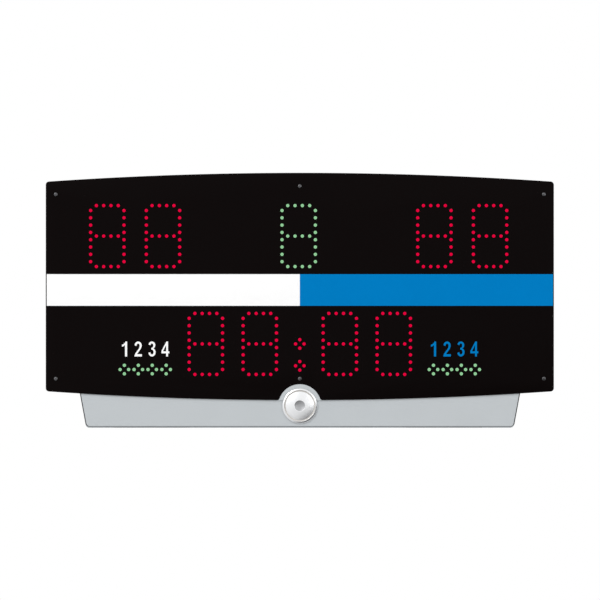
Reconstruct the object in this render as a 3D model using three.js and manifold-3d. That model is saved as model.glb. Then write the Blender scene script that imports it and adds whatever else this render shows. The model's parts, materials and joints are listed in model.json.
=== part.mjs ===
// Wall-hung electronic scoreboard with a horn in its lower housing, the chin.
// Lengths are in millimetres. X runs to the right as seen from the front, Z is up, the front faces -Y.
// The origin is the middle of the wall rail's rear face. Inside the board group, heights start at the
// lower edge of the chin, and depths are measured forward from the wall.

import * as THREE from 'three';
import { mergeVertices } from 'three/addons/utils/BufferGeometryUtils.js';
import Module from 'manifold-3d';

const wasm = await Module();
wasm.setup();

// Fits
const CLEARANCE = 0.35;
const CUT = 1;
const SAME_POINT = 1e-4;

// Front panel
const PANEL_WIDTH = 1200;
const PANEL_HEIGHT = 537;
const PANEL_THICKNESS = 4;
const PANEL_CORNER = 8;
const PANEL_BOTTOM = 65;
const EDGE_RISE = 21;
const NOTCH_MARGIN = 9.3;
const NOTCH_FILLET = 6;

// Coloured strips across the panel
const STRIP_GAP = 12.6;
const STRIP_THICKNESS = 0.5;

// Panel screws
const SCREW_FROM_SIDE = 23.5;
const SCREW_FROM_EDGE = 31.4;
const SCREW_HEAD_RADIUS = 4.6;
const SCREW_HEAD_HEIGHT = 2.2;
const SCREW_SHANK_RADIUS = 2.1;
const SCREW_LENGTH = 16;

// LEDs and their boards
const LED_RADIUS = 4.9;
const LED_PROUD = 1.6;
const LED_PITCH = 17.25;
const DIGIT_HALF_WIDTH = 39.4;
const DIGIT_HALF_HEIGHT = 72;
const DIAMOND_HALF = 10;
const BOARD_THICKNESS = 1.6;
const BOARD_STANDOFF = 6;
const BOARD_FOOT = 5;
const DIGIT_BOARD_MARGIN = 10;
const DIGIT_BOARD_HEADROOM = 6.5;
const DIAMOND_BOARD_MARGIN = 10;

// Rows of digits and lights
const SCORE_FROM_TOP = 149.4;
const SCORE_SHIFT = -2.65;
const SCORE_PAIR_X = 386.2;
const SCORE_SPACING = 131.5;
const CLOCK_Z = 197.9;
const CLOCK_PAIR_X = 158.2;
const CLOCK_SPACING = 127.4;
const COLON_SPACING = 51.7;
const PENALTY_Z = 137.4;
const PENALTY_GROUP_X = 365;
const PENALTY_PITCH = 32.9;

// Case
const WALL_GAP = 18;
const CASE_DEPTH = 66;
const CASE_WALL = 2;
const CASE_INSET = 10;
const CASE_BOTTOM = 104;
const CASE_CORNER = 12;
const RIM_WIDTH = 9;
const GASKET_THICKNESS = 2;
const GASKET_WIDTH = 5;
const POST_RADIUS = 5;
const POST_HOLE_RADIUS = 2.6;
const POST_HOLE_DEPTH = 22;
const VENT_LENGTH = 60;
const VENT_HEIGHT = 4;
const VENT_PITCH = 14;
const VENT_ROWS = 4;

// Chin
const CHIN_INSET_BOTTOM = 95.6;
const CHIN_INSET_TOP = 77.6;
const CHIN_CORNER = 8;
const CHIN_CHAMFER = 3;
const CHIN_WALL = 3;
const CHIN_BACK = 30;
const COVER_THICKNESS = 2;
const COVER_SCREW_INSET = 64.4;
const CHIN_SCREW_INSET = 52.4;
const FIXING_HEAD_RADIUS = 4;
const FIXING_HEAD_HEIGHT = 2;
const FIXING_RADIUS = 2;
const FIXING_LENGTH = 14;
const BOSS_RADIUS = 5;
const BOSS_HEIGHT = 8;

// Horn
const HORN_Z = 51.8;
const HORN_RADIUS = 41.7;
const HORN_RING_HEIGHT = 6.5;
const HORN_RING_WIDTH = 5.3;
const HORN_RING_SEAT = 2;
const HORN_GROOVE = 1.1;
const HORN_FACE_THICKNESS = 3;
const HORN_CROWN = 1.2;
const HORN_PORT_RADIUS = 12.2;
const HORN_BOWL_DEPTH = 6.5;
const HORN_BOWL_WALL = 1.5;
const HORN_BORE_RADIUS = 3;
const HORN_BODY_RADIUS = 33;
const HORN_BODY_LENGTH = 38;
const HORN_BODY_WALL = 3;
const HORN_STEP = 2;
const HORN_STEP_DEPTH = 12;
const DIAPHRAGM_THICKNESS = 0.6;
const HORN_WIRE_HOLE = 3;
const NUT_WIDTH = 7;
const NUT_THICKNESS = 6;

// Bays let into the underside of the chin
const BAY_LENGTH = 180;
const BAY_DEPTH = 44;
const BAY_FRONT_GAP = 3;
const BAY_WALL = 2;
const BAY_HEIGHT = 22;
const BAY_EAR = 9;
const BAY_EAR_THICKNESS = 2;
const POWER_BAY_INSET = 154.4;
const SERVICE_BAY_INSET = 164.4;

// Power unit in the first bay: mains inlet, fuse and switch
const INLET_X = -38;
const UNIT_HALF_LENGTH = 35;
const UNIT_HALF_DEPTH = 16.5;
const UNIT_HEIGHT = 30;
const UNIT_FLANGE = 3;
const UNIT_FLANGE_THICKNESS = 2.5;
const SOCKET_OFFSET = -14;
const SOCKET_HALF_WIDTH = 12.2;
const SOCKET_BEHIND = 1;
const SOCKET_AHEAD = 15;
const SOCKET_DEPTH = 19;
const PIN_SPACING = 7;
const PIN_WIDTH = 2;
const PIN_LENGTH = 12.5;
const PIN_AHEAD = 5;
const PIN_DEPTH = 4;
const FUSE_BEHIND = 10;
const FUSE_HALF_WIDTH = 10.5;
const FUSE_HALF_DEPTH = 4.5;
const FUSE_CHANNEL = 22;
const FUSE_LENGTH = 18.5;
const FUSE_FACE_THICKNESS = 1.5;
const FUSE_FACE_MARGIN = 1.2;
const ROCKER_OFFSET = 22;
const ROCKER_HALF_LENGTH = 9;
const ROCKER_HALF_DEPTH = 5.2;
const ROCKER_HEIGHT = 7.5;
const ROCKER_HOLLOW = 1.6;
const ROCKER_TAPER = 2;
const ROCKER_PIVOT = 4.5;
const ROCKER_TIP = 1;
const ROCKER_SWING = 1.1;
const ROCKER_POCKET = 14;
const ROCKER_AXLE_RADIUS = 1.2;
const ROCKER_AXLE_REACH = 2;
const ROCKER_TILT = THREE.MathUtils.degToRad(10);

// Console socket and its cap
const CONSOLE_X = 50;
const CONSOLE_HALF = 9;
const CONSOLE_HEIGHT = 22;
const CONSOLE_FLANGE = 4;
const CONSOLE_FLANGE_THICKNESS = 2;
const JACK_HALF_WIDTH = 5.9;
const JACK_HALF_DEPTH = 4.2;
const JACK_DEPTH = 13;
const CAP_AXIS_BEHIND = 15;
const CAP_AXIS_DROP = 4;
const CAP_BARREL_RADIUS = 2.3;
const CAP_PIN_RADIUS = 0.9;
const CAP_THICKNESS = 2;
const CAP_TONGUE = 4.5;
const CAP_HALF_WIDTH = 12;
const CAP_AHEAD = 12;
const CAP_EAR = 2.5;
const CAP_EAR_REACH = 4;

// Service bay fittings
const DOOR_AXIS_FROM_WALL = 4;
const DOOR_AXIS_Z = 3.2;
const DOOR_THICKNESS = 2.5;
const DOOR_BARREL_RADIUS = 2.7;
const DOOR_PIN_RADIUS = 1.2;
const DOOR_LUG = 3;
const DOOR_LUG_INSET = 10;
const DOOR_LUG_REACH = 4;
const DOOR_LUG_TOP = 7;
const DOOR_GAP = 0.5;
const LATCH_FROM_WALL = 12;
const LATCH_HEAD_RADIUS = 5.5;
const LATCH_HEAD_HEIGHT = 1;
const LATCH_SHANK_RADIUS = 3;
const LATCH_COLLAR_RADIUS = 5;
const LATCH_COLLAR_HEIGHT = 1.2;
const LATCH_CAM_WIDTH = 5;
const LATCH_CAM_THICKNESS = 2;
const LATCH_CAM_Z = 5.8;
const CATCH_LENGTH = 20;
const CATCH_REACH = 4;
const CATCH_THICKNESS = 2;
const KNOB_X = -40;
const KNOB_RADIUS = 8;
const KNOB_HEIGHT = 9.4;
const KNOB_SHAFT_RADIUS = 3;
const KNOB_SHAFT_LENGTH = 10;
const KNOB_MARK_WIDTH = 1.6;
const KNOB_MARK_DEPTH = 0.8;
const BUTTON_X = 40;
const BUTTON_RADIUS = 5;
const BUTTON_HEIGHT = 4.5;
const BUTTON_TRAVEL = 3;
const BUTTON_STEM_RADIUS = 2.2;
const BUTTON_COLLAR_RADIUS = 3.4;
const SWITCH_HALF = 9;
const SWITCH_HEIGHT = 12;
const SWITCH_ROOF = 3;
const SERVICE_BOARD_HALF_LENGTH = 60;
const SERVICE_BOARD_HALF_DEPTH = 14;

// Electronics in the case
const SUPPLY_X = -180;
const SUPPLY_ABOVE_STRIP = 24.75;
const SUPPLY_LENGTH = 160;
const SUPPLY_HEIGHT = 98;
const SUPPLY_DEPTH = 38;
const TERMINAL_LENGTH = 70;
const TERMINAL_HEIGHT = 8;
const TERMINAL_DEPTH = 14;
const CONTROLLER_X = 170;
const CONTROLLER_LENGTH = 180;
const CONTROLLER_HEIGHT = 100;
const CONTROLLER_STANDOFF = 8;
const CONTROLLER_BOSS_RADIUS = 3.5;
const CONTROLLER_BOSS_INSET = 8;
const CHIP_SIZE = 26;
const CHIP_THICKNESS = 3;
const HEADER_LENGTH = 36;
const HEADER_HEIGHT = 8;
const HEADER_DEPTH = 9;
const RADIO_X = 170;
const RADIO_Z = 58;
const RADIO_LENGTH = 70;
const RADIO_HEIGHT = 44;
const RADIO_CAN = 24;
const RADIO_CAN_DEPTH = 4;
const AERIAL_RADIUS = 1.5;
const AERIAL_LENGTH = 80;

// Wiring
const HARNESS_WIDTH = 10;
const HARNESS_THICKNESS = 1;
const GROMMET_X = -180;
const GROMMET_DEPTH = 50;
const GROMMET_HOLE_RADIUS = 12;
const GROMMET_BORE_RADIUS = 9.5;
const GROMMET_FLANGE = 3;
const GROMMET_LIP = 2;
const MAINS_LEAD_RADIUS = 3.2;
const SUPPLY_LEAD_RADIUS = 2.5;
const SMALL_LEAD_RADIUS = 2;
const LEAD_OUT = 8;
const LEAD_DROP = 30;
const LEAD_BELOW_CHIN_TOP = 22;
const LEAD_ABOVE_CASE_FLOOR = 28;
const GROMMET_LEAD_ASIDE = 5;
const GROMMET_LEAD_AHEAD = 4.5;
const TERMINAL_LEAD_ASIDE = 20;
const HEADER_LEAD_ASIDE = 10;

// Hanging hardware
const RAIL_Z = 500;
const RAIL_INSET = 100;
const RAIL_THICKNESS = 3;
const RAIL_BELOW = 30;
const RAIL_SHELF = 6;
const RAIL_SLOT = 6;
const RAIL_LIP = 17;
const CLEAT_INSET = 20;
const CLEAT_TONGUE_GAP = 2.4;
const CLEAT_REACH = 15;
const CLEAT_PLATE = 36;
const PAD_FROM_SIDE = 150;
const PAD_Z = 140;
const PAD_RADIUS = 15;
const PAD_CHAMFER = 1.5;

// Facets
const LED_SIDES = 4;
const LED_TURN = Math.PI / 4;
const BORE_SIDES = 8;
const ROUND_SIDES = 24;
const SMALL_SIDES = 8;
const EDGE_STEPS = 12;
const CORNER_STEPS = 3;
const NOTCH_STEPS = 16;
const LEAD_SIDES = 8;
const LEAD_STEPS = 20;

// Places worked out from the sizes above
const caseBack = WALL_GAP;
const caseInside = WALL_GAP + CASE_WALL;
const caseRim = WALL_GAP + CASE_DEPTH;
const panelBack = caseRim + GASKET_THICKNESS;
const panelFront = panelBack + PANEL_THICKNESS;
const panelTop = PANEL_BOTTOM + PANEL_HEIGHT;
const scoreZ = panelTop - SCORE_FROM_TOP;
const digitReach = DIGIT_HALF_HEIGHT + LED_RADIUS;
const stripBottom = CLOCK_Z + digitReach + STRIP_GAP;
const stripTop = scoreZ - digitReach - STRIP_GAP;
const harnessZ = (stripBottom + stripTop) / 2;
const supplyZ = harnessZ + SUPPLY_ABOVE_STRIP;
const panelHalf = PANEL_WIDTH / 2;
const chinHalfBottom = panelHalf - CHIN_INSET_BOTTOM;
const chinHalfTop = panelHalf - CHIN_INSET_TOP;
const chinScrewX = chinHalfTop - CHIN_SCREW_INSET;
const coverScrewX = chinHalfBottom - COVER_SCREW_INSET;
const powerBayX = POWER_BAY_INSET - chinHalfBottom;
const serviceBayX = chinHalfBottom - SERVICE_BAY_INSET;
const padX = panelHalf - PAD_FROM_SIDE;
const railLength = PANEL_WIDTH - 2 * RAIL_INSET;
const cleatLength = railLength - 2 * CLEAT_INSET;
const edgeRadius = (panelHalf ** 2 + EDGE_RISE ** 2) / (2 * EDGE_RISE);
const screwX = panelHalf - SCREW_FROM_SIDE;
const edgeDropAtScrew = edgeRadius - Math.sqrt(edgeRadius ** 2 - screwX ** 2);
const lowScrewZ = PANEL_BOTTOM + edgeDropAtScrew + SCREW_FROM_EDGE;
const caseHalf = panelHalf - CASE_INSET;
const caseFloor = CASE_BOTTOM + CASE_WALL;
const ledBoardFront = panelBack - BOARD_STANDOFF;
const ledBoardBack = ledBoardFront - BOARD_THICKNESS;
const chinTop = CASE_BOTTOM;
const chinFrontInside = panelBack - CHIN_WALL;
const bayFront = chinFrontInside - BAY_FRONT_GAP;
const bayBack = bayFront - BAY_DEPTH;
const bayMiddle = bayFront - BAY_DEPTH / 2;
const bayFloor = BAY_HEIGHT - BAY_WALL;
const inletX = powerBayX + INLET_X;
const unitFace = bayFloor - UNIT_FLANGE_THICKNESS;
const consoleX = powerBayX + CONSOLE_X;
const consoleFace = bayFloor - CONSOLE_FLANGE_THICKNESS;
const knobX = serviceBayX + KNOB_X;
const buttonX = serviceBayX + BUTTON_X;
const controllerBack = caseInside + CONTROLLER_STANDOFF;
const doorPinReach = BAY_LENGTH / 2 - BAY_WALL - DOOR_LUG_INSET;
const lugSwing = Math.hypot(DOOR_LUG_REACH, DOOR_AXIS_Z - DOOR_GAP);
const doorAxisDepth = bayBack + BAY_WALL + DOOR_AXIS_FROM_WALL;
const latchDepth = bayFront - BAY_WALL - LATCH_FROM_WALL;
const latchCamHalf = LATCH_FROM_WALL - 2 * CLEARANCE;
const fuseDepth = bayMiddle - FUSE_BEHIND;
const capAxisDepth = bayMiddle - CAP_AXIS_BEHIND;

const panelScrews = {
  panel_screw_top_left: [-screwX, panelTop - edgeDropAtScrew - SCREW_FROM_EDGE],
  panel_screw_top_middle: [0, panelTop - SCREW_FROM_EDGE],
  panel_screw_top_right: [screwX, panelTop - edgeDropAtScrew - SCREW_FROM_EDGE],
  panel_screw_low_left: [-screwX, lowScrewZ],
  panel_screw_low_middle: [0, lowScrewZ],
  panel_screw_low_right: [screwX, lowScrewZ],
};

// A finish for each family of pieces
const finish = (color, roughness, metalness) => (
  new THREE.MeshStandardMaterial({ color, roughness, metalness })
);
const FINISH = {
  panel: finish(0x110e0e, 0.55, 0),
  white: finish(0xf4f4f4, 0.5, 0),
  blue: finish(0x007bc0, 0.5, 0),
  chin: finish(0xc3c8cb, 0.5, 0),
  steel: finish(0x9a9a98, 0.35, 0.9),
  case: finish(0x2b2c2e, 0.6, 0.3),
  rubber: finish(0x1a1a1a, 0.9, 0),
  horn: finish(0xdfe1e3, 0.25, 0.9),
  blackPlastic: finish(0x1c1c1e, 0.55, 0),
  redLed: finish(0xf0003c, 0.4, 0),
  greenLed: finish(0xa0deaa, 0.4, 0),
  board: finish(0x1f5a34, 0.6, 0),
  aluminium: finish(0xb8babc, 0.4, 0.9),
  redButton: finish(0xb3202a, 0.5, 0),
  grey: finish(0x8c9093, 0.55, 0),
  lead: finish(0x222222, 0.7, 0),
  ribbon: finish(0x9fa3a6, 0.7, 0),
};

// Turns a closed three.js geometry into a solid that can be joined and cut.
function solid(geometry) {
  const bare = geometry.index ? geometry.toNonIndexed() : geometry.clone();
  bare.deleteAttribute('normal');
  bare.deleteAttribute('uv');
  const merged = mergeVertices(bare, SAME_POINT);
  const corners = merged.index.array;
  const kept = [];
  for (let i = 0; i < corners.length; i += 3) {
    const [a, b, c] = [corners[i], corners[i + 1], corners[i + 2]];
    if (a !== b && b !== c && c !== a) kept.push(a, b, c);
  }
  const vertProperties = new Float32Array(merged.attributes.position.array);
  const triVerts = new Uint32Array(kept);
  return new wasm.Manifold(new wasm.Mesh({ numProp: 3, vertProperties, triVerts }));
}

function geometryOf(made) {
  const mesh = made.getMesh();
  const geometry = new THREE.BufferGeometry();
  geometry.setAttribute('position', new THREE.BufferAttribute(mesh.vertProperties, mesh.numProp));
  geometry.setIndex(new THREE.BufferAttribute(mesh.triVerts, 1));
  geometry.computeVertexNormals();
  return geometry;
}

const joined = (first, ...others) => others.reduce((all, next) => all.add(next), first);
const cutBy = (first, ...others) => others.reduce((left, next) => left.subtract(next), first);

// Points of an arc in the plane of the board, both ends included
function arc(x, z, radius, from, to, steps) {
  const points = [];
  for (let i = 0; i <= steps; i += 1) {
    const angle = from + ((to - from) * i) / steps;
    points.push(new THREE.Vector2(x + radius * Math.cos(angle), z + radius * Math.sin(angle)));
  }
  return points;
}

// Corners of a regular polygon, the first one straight up
function polygon(x, z, radius, sides) {
  const points = [];
  for (let i = 0; i < sides; i += 1) {
    const angle = (2 * Math.PI * i) / sides;
    points.push(new THREE.Vector2(x + radius * Math.sin(angle), z + radius * Math.cos(angle)));
  }
  return points;
}

// A sheet parallel to the wall between two depths, from its outline and its holes
function sheet(outline, back, front, holes = [], chamfer = 0) {
  const shape = new THREE.Shape(outline);
  shape.holes = holes.map((hole) => new THREE.Path(hole));
  const geometry = new THREE.ExtrudeGeometry(shape, {
    depth: front - back - 2 * chamfer,
    steps: 1,
    bevelEnabled: chamfer > 0,
    bevelThickness: chamfer,
    bevelSize: chamfer,
    bevelOffset: -chamfer,
    bevelSegments: 1,
  });
  geometry.rotateX(Math.PI / 2);
  geometry.translate(0, -back - chamfer, 0);
  return geometry;
}

function block(left, right, back, front, bottom, top) {
  const geometry = new THREE.BoxGeometry(right - left, front - back, top - bottom);
  geometry.translate((left + right) / 2, -(back + front) / 2, (bottom + top) / 2);
  return geometry;
}

// A block from the place of its middle in plan, its two half sizes and its two heights
function around(x, depth, halfX, halfDepth, bottom, top) {
  return block(x - halfX, x + halfX, depth - halfDepth, depth + halfDepth, bottom, top);
}

// Round bars along the depth, along X and upright
function depthBar(x, z, radius, back, front, sides, turn = 0) {
  const geometry = new THREE.CylinderGeometry(radius, radius, front - back, sides, 1, false, turn);
  geometry.translate(x, -(back + front) / 2, z);
  return geometry;
}

function crossBar(left, right, depth, z, radius, sides) {
  const geometry = new THREE.CylinderGeometry(radius, radius, right - left, sides);
  geometry.rotateZ(Math.PI / 2);
  geometry.translate((left + right) / 2, -depth, z);
  return geometry;
}

function uprightBar(x, depth, radius, bottom, top, sides) {
  const geometry = new THREE.CylinderGeometry(radius, radius, top - bottom, sides);
  geometry.rotateX(Math.PI / 2);
  geometry.translate(x, -depth, (bottom + top) / 2);
  return geometry;
}

// Turned pieces: the profile lists radius and place along the axis, from the rear or the bottom
function turned(profile, sides) {
  const points = profile.map(([radius, along]) => new THREE.Vector2(radius, along));
  return new THREE.LatheGeometry(points, sides);
}

function turnedFacingFront(profile, x, z, sides) {
  const geometry = turned(profile, sides);
  geometry.rotateX(Math.PI);
  geometry.translate(x, 0, z);
  return geometry;
}

function turnedUpright(profile, x, depth, sides) {
  const geometry = turned(profile, sides);
  geometry.rotateX(Math.PI / 2);
  geometry.translate(x, -depth, 0);
  return geometry;
}

// Where the lights sit, as offsets from the middle of their group
function digitLights() {
  const lights = [];
  const fromMiddle = [-1.5, -0.5, 0.5, 1.5];
  for (const side of [-1, 1]) {
    for (const half of [-1, 1]) {
      fromMiddle.forEach((step) => lights.push([
        side * DIGIT_HALF_WIDTH,
        half * (step + 2) * LED_PITCH,
      ]));
    }
  }
  for (const row of [-1, 0, 1]) {
    fromMiddle.forEach((step) => lights.push([step * LED_PITCH, row * DIGIT_HALF_HEIGHT]));
  }
  return lights;
}

function diamondLights(x, z) {
  const round = [[0, 1], [1, 0], [0, -1], [-1, 0]];
  return round.map(([across, up]) => [x + across * DIAMOND_HALF, z + up * DIAMOND_HALF]);
}

function colonLights() {
  return [...diamondLights(0, COLON_SPACING / 2), ...diamondLights(0, -COLON_SPACING / 2)];
}

function penaltyLights() {
  return [-1.5, -0.5, 0.5, 1.5].flatMap((step) => diamondLights(step * PENALTY_PITCH, 0));
}

const diamondReach = DIAMOND_HALF + DIAMOND_BOARD_MARGIN;
const digitHalf = [DIGIT_HALF_WIDTH + DIGIT_BOARD_MARGIN, DIGIT_HALF_HEIGHT + DIGIT_BOARD_HEADROOM];
const colonHalf = [diamondReach, COLON_SPACING / 2 + diamondReach];
const penaltyHalf = [PENALTY_PITCH * 1.5 + diamondReach, diamondReach];
const colonZ = CLOCK_Z - COLON_SPACING / 2;
const homeX = SCORE_SHIFT - SCORE_PAIR_X;
const guestX = SCORE_SHIFT + SCORE_PAIR_X;

function digitModule(name, x, z, colour) {
  return { name, x, z, lights: digitLights(), half: digitHalf, colour };
}

function penaltyModule(name, x) {
  return { name, x, z: PENALTY_Z, lights: penaltyLights(), half: penaltyHalf, colour: FINISH.greenLed };
}

const ledModules = [
  digitModule('home_score_tens', homeX - SCORE_SPACING / 2, scoreZ, FINISH.redLed),
  digitModule('home_score_units', homeX + SCORE_SPACING / 2, scoreZ, FINISH.redLed),
  digitModule('period_digit', SCORE_SHIFT, scoreZ, FINISH.greenLed),
  digitModule('guest_score_tens', guestX - SCORE_SPACING / 2, scoreZ, FINISH.redLed),
  digitModule('guest_score_units', guestX + SCORE_SPACING / 2, scoreZ, FINISH.redLed),
  digitModule('clock_minutes_tens', -CLOCK_PAIR_X - CLOCK_SPACING / 2, CLOCK_Z, FINISH.redLed),
  digitModule('clock_minutes_units', -CLOCK_PAIR_X + CLOCK_SPACING / 2, CLOCK_Z, FINISH.redLed),
  digitModule('clock_seconds_tens', CLOCK_PAIR_X - CLOCK_SPACING / 2, CLOCK_Z, FINISH.redLed),
  digitModule('clock_seconds_units', CLOCK_PAIR_X + CLOCK_SPACING / 2, CLOCK_Z, FINISH.redLed),
  { name: 'clock_colon', x: 0, z: colonZ, lights: colonLights(), half: colonHalf, colour: FINISH.redLed },
  penaltyModule('penalty_lights_left', -PENALTY_GROUP_X),
  penaltyModule('penalty_lights_right', PENALTY_GROUP_X),
];

// Front panel outline: curved lower and upper edges, round corners and the notch over the horn
function panelOutline() {
  const inner = panelHalf - PANEL_CORNER;
  const lean = Math.asin(inner / (edgeRadius - PANEL_CORNER));
  const cornerRise = (edgeRadius - PANEL_CORNER) * Math.cos(lean);
  const lowCentre = PANEL_BOTTOM + edgeRadius;
  const highCentre = panelTop - edgeRadius;
  const lowCorner = lowCentre - cornerRise;
  const highCorner = highCentre + cornerRise;
  const notchRadius = HORN_RADIUS + NOTCH_MARGIN;
  const filletRise = PANEL_BOTTOM + NOTCH_FILLET - HORN_Z;
  const filletX = Math.sqrt((notchRadius + NOTCH_FILLET) ** 2 - filletRise ** 2);
  const filletZ = HORN_Z + filletRise;
  const notchAngle = Math.atan2(filletRise, filletX);
  const mouth = Math.asin(filletX / edgeRadius);
  const down = -Math.PI / 2;
  return [
    ...arc(0, lowCentre, edgeRadius, down - lean, down - mouth, EDGE_STEPS / 2),
    ...arc(-filletX, filletZ, NOTCH_FILLET, down, -notchAngle, CORNER_STEPS).slice(1),
    ...arc(0, HORN_Z, notchRadius, Math.PI - notchAngle, notchAngle, NOTCH_STEPS).slice(1),
    ...arc(filletX, filletZ, NOTCH_FILLET, Math.PI + notchAngle, -3 * down, CORNER_STEPS).slice(1),
    ...arc(0, lowCentre, edgeRadius, down + mouth, down + lean, EDGE_STEPS / 2).slice(1),
    ...arc(inner, lowCorner, PANEL_CORNER, down + lean, 0, CORNER_STEPS).slice(1),
    ...arc(inner, highCorner, PANEL_CORNER, 0, -down - lean, CORNER_STEPS),
    ...arc(0, highCentre, edgeRadius, -down - lean, -down + lean, EDGE_STEPS).slice(1),
    ...arc(-inner, highCorner, PANEL_CORNER, -down + lean, Math.PI, CORNER_STEPS).slice(1),
    ...arc(-inner, lowCorner, PANEL_CORNER, Math.PI, Math.PI - down - lean, CORNER_STEPS),
  ].slice(0, -1);
}

function frontPanel() {
  const [from, to] = [panelBack - CUT, panelFront + CUT];
  const hole = LED_RADIUS + CLEARANCE;
  const drilled = (x, z, radius, sides, turn) => solid(depthBar(x, z, radius, from, to, sides, turn));
  const ledHoles = ledModules.flatMap(({ x, z, lights }) => (
    lights.map(([across, up]) => drilled(x + across, z + up, hole, LED_SIDES, LED_TURN))
  ));
  const screwHoles = Object.values(panelScrews).map(([x, z]) => (
    drilled(x, z, SCREW_SHANK_RADIUS + 2 * CLEARANCE, BORE_SIDES, 0)
  ));
  return cutBy(solid(sheet(panelOutline(), panelBack, panelFront)), ...ledHoles, ...screwHoles);
}

function strip(left, right) {
  const front = panelFront + STRIP_THICKNESS;
  return block(left, right, panelFront, front, stripBottom, stripTop);
}

function panelScrew(x, z) {
  const profile = [
    [0, panelFront - SCREW_LENGTH],
    [SCREW_SHANK_RADIUS, panelFront - SCREW_LENGTH],
    [SCREW_SHANK_RADIUS, panelFront],
    [SCREW_HEAD_RADIUS, panelFront],
    [SCREW_HEAD_RADIUS * 0.93, panelFront + SCREW_HEAD_HEIGHT * 0.5],
    [SCREW_HEAD_RADIUS * 0.6, panelFront + SCREW_HEAD_HEIGHT * 0.92],
    [0, panelFront + SCREW_HEAD_HEIGHT],
  ];
  return turnedFacingFront(profile, x, z, SMALL_SIDES);
}

// Case outline: as the panel's, but smaller and flat below, so that the chin fits under it
function caseOutline(inset) {
  const half = caseHalf - inset;
  const corner = CASE_CORNER - inset;
  const bottom = CASE_BOTTOM + inset;
  const topRadius = edgeRadius - CASE_INSET - inset;
  const lean = Math.asin((half - corner) / (topRadius - corner));
  const highCentre = panelTop - edgeRadius;
  const highCorner = highCentre + (topRadius - corner) * Math.cos(lean);
  const right = Math.PI / 2;
  return [
    ...arc(corner - half, bottom + corner, corner, 2 * right, 3 * right, CORNER_STEPS),
    ...arc(half - corner, bottom + corner, corner, -right, 0, CORNER_STEPS),
    ...arc(half - corner, highCorner, corner, 0, right - lean, CORNER_STEPS),
    ...arc(0, highCentre, topRadius, right - lean, right + lean, EDGE_STEPS).slice(1),
    ...arc(corner - half, highCorner, corner, right + lean, 2 * right, CORNER_STEPS).slice(1),
  ];
}

function caseVents() {
  const vents = [];
  for (let row = 0; row < VENT_ROWS; row += 1) {
    const z = supplyZ + (row - (VENT_ROWS - 1) / 2) * VENT_PITCH;
    for (const side of [-1, 1]) {
      const x = side * VENT_LENGTH;
      const [left, right] = [x - VENT_LENGTH / 2, x + VENT_LENGTH / 2];
      vents.push(solid(block(left, right, 0, caseInside + CUT, z, z + VENT_HEIGHT)));
    }
  }
  return vents;
}

function boardCase() {
  const outer = solid(sheet(caseOutline(0), caseBack, caseRim));
  const cavity = solid(sheet(caseOutline(CASE_WALL), caseInside, caseRim - CASE_WALL));
  const mouth = solid(sheet(caseOutline(RIM_WIDTH), caseInside + CUT, caseRim + CUT));
  const bossBack = caseBack + CASE_WALL / 2;
  const bore = FIXING_RADIUS + CLEARANCE;
  let tray = cutBy(outer, cavity, mouth, ...caseVents());
  Object.values(panelScrews).forEach(([x, z]) => {
    const holeBack = panelBack - POST_HOLE_DEPTH;
    const post = depthBar(x, z, POST_RADIUS, bossBack, panelBack, SMALL_SIDES);
    const hole = depthBar(x, z, POST_HOLE_RADIUS, holeBack, panelBack + CUT, BORE_SIDES);
    tray = tray.add(solid(post)).subtract(solid(hole));
  });
  const bossX = CONTROLLER_LENGTH / 2 - CONTROLLER_BOSS_INSET;
  const bossZ = CONTROLLER_HEIGHT / 2 - CONTROLLER_BOSS_INSET;
  for (const x of [CONTROLLER_X - bossX, CONTROLLER_X + bossX]) {
    for (const z of [supplyZ - bossZ, supplyZ + bossZ]) {
      const boss = depthBar(x, z, CONTROLLER_BOSS_RADIUS, bossBack, controllerBack, SMALL_SIDES);
      tray = tray.add(solid(boss));
    }
  }
  for (const x of [-chinScrewX, chinScrewX]) {
    const top = caseFloor + BOSS_HEIGHT;
    const boss = uprightBar(x, bayMiddle, BOSS_RADIUS, CASE_BOTTOM, top, SMALL_SIDES);
    const hole = uprightBar(x, bayMiddle, bore, CASE_BOTTOM - CUT, top + CUT, BORE_SIDES);
    tray = tray.add(solid(boss)).subtract(solid(hole));
  }
  const [low, high] = [CASE_BOTTOM - CUT, caseFloor + CUT];
  const passage = uprightBar(GROMMET_X, GROMMET_DEPTH, GROMMET_HOLE_RADIUS, low, high, ROUND_SIDES);
  return tray.subtract(solid(passage));
}

function rimGasket() {
  return sheet(caseOutline(0), caseRim, panelBack, [caseOutline(GASKET_WIDTH)]);
}

// Chin outline: flat below with round corners, sides leaning outward
function chinOutline(inset, top) {
  const lean = Math.atan2(chinHalfTop - chinHalfBottom, chinTop);
  const corner = CHIN_CORNER - inset;
  const half = chinHalfBottom - inset / Math.cos(lean) + inset * Math.tan(lean);
  const centreX = half - (corner * (1 - Math.sin(lean))) / Math.cos(lean);
  const topX = half + (top - inset) * Math.tan(lean);
  const right = Math.PI / 2;
  return [
    ...arc(-centreX, inset + corner, corner, 2 * right + lean, 3 * right, CORNER_STEPS),
    ...arc(centreX, inset + corner, corner, -right, -lean, CORNER_STEPS),
    new THREE.Vector2(topX, top),
    new THREE.Vector2(-topX, top),
  ];
}

function bayOpening(x) {
  const half = BAY_LENGTH / 2 + CLEARANCE;
  const halfDepth = BAY_DEPTH / 2 + CLEARANCE;
  return solid(around(x, bayMiddle, half, halfDepth, -CUT, CHIN_WALL + CUT));
}

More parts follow.
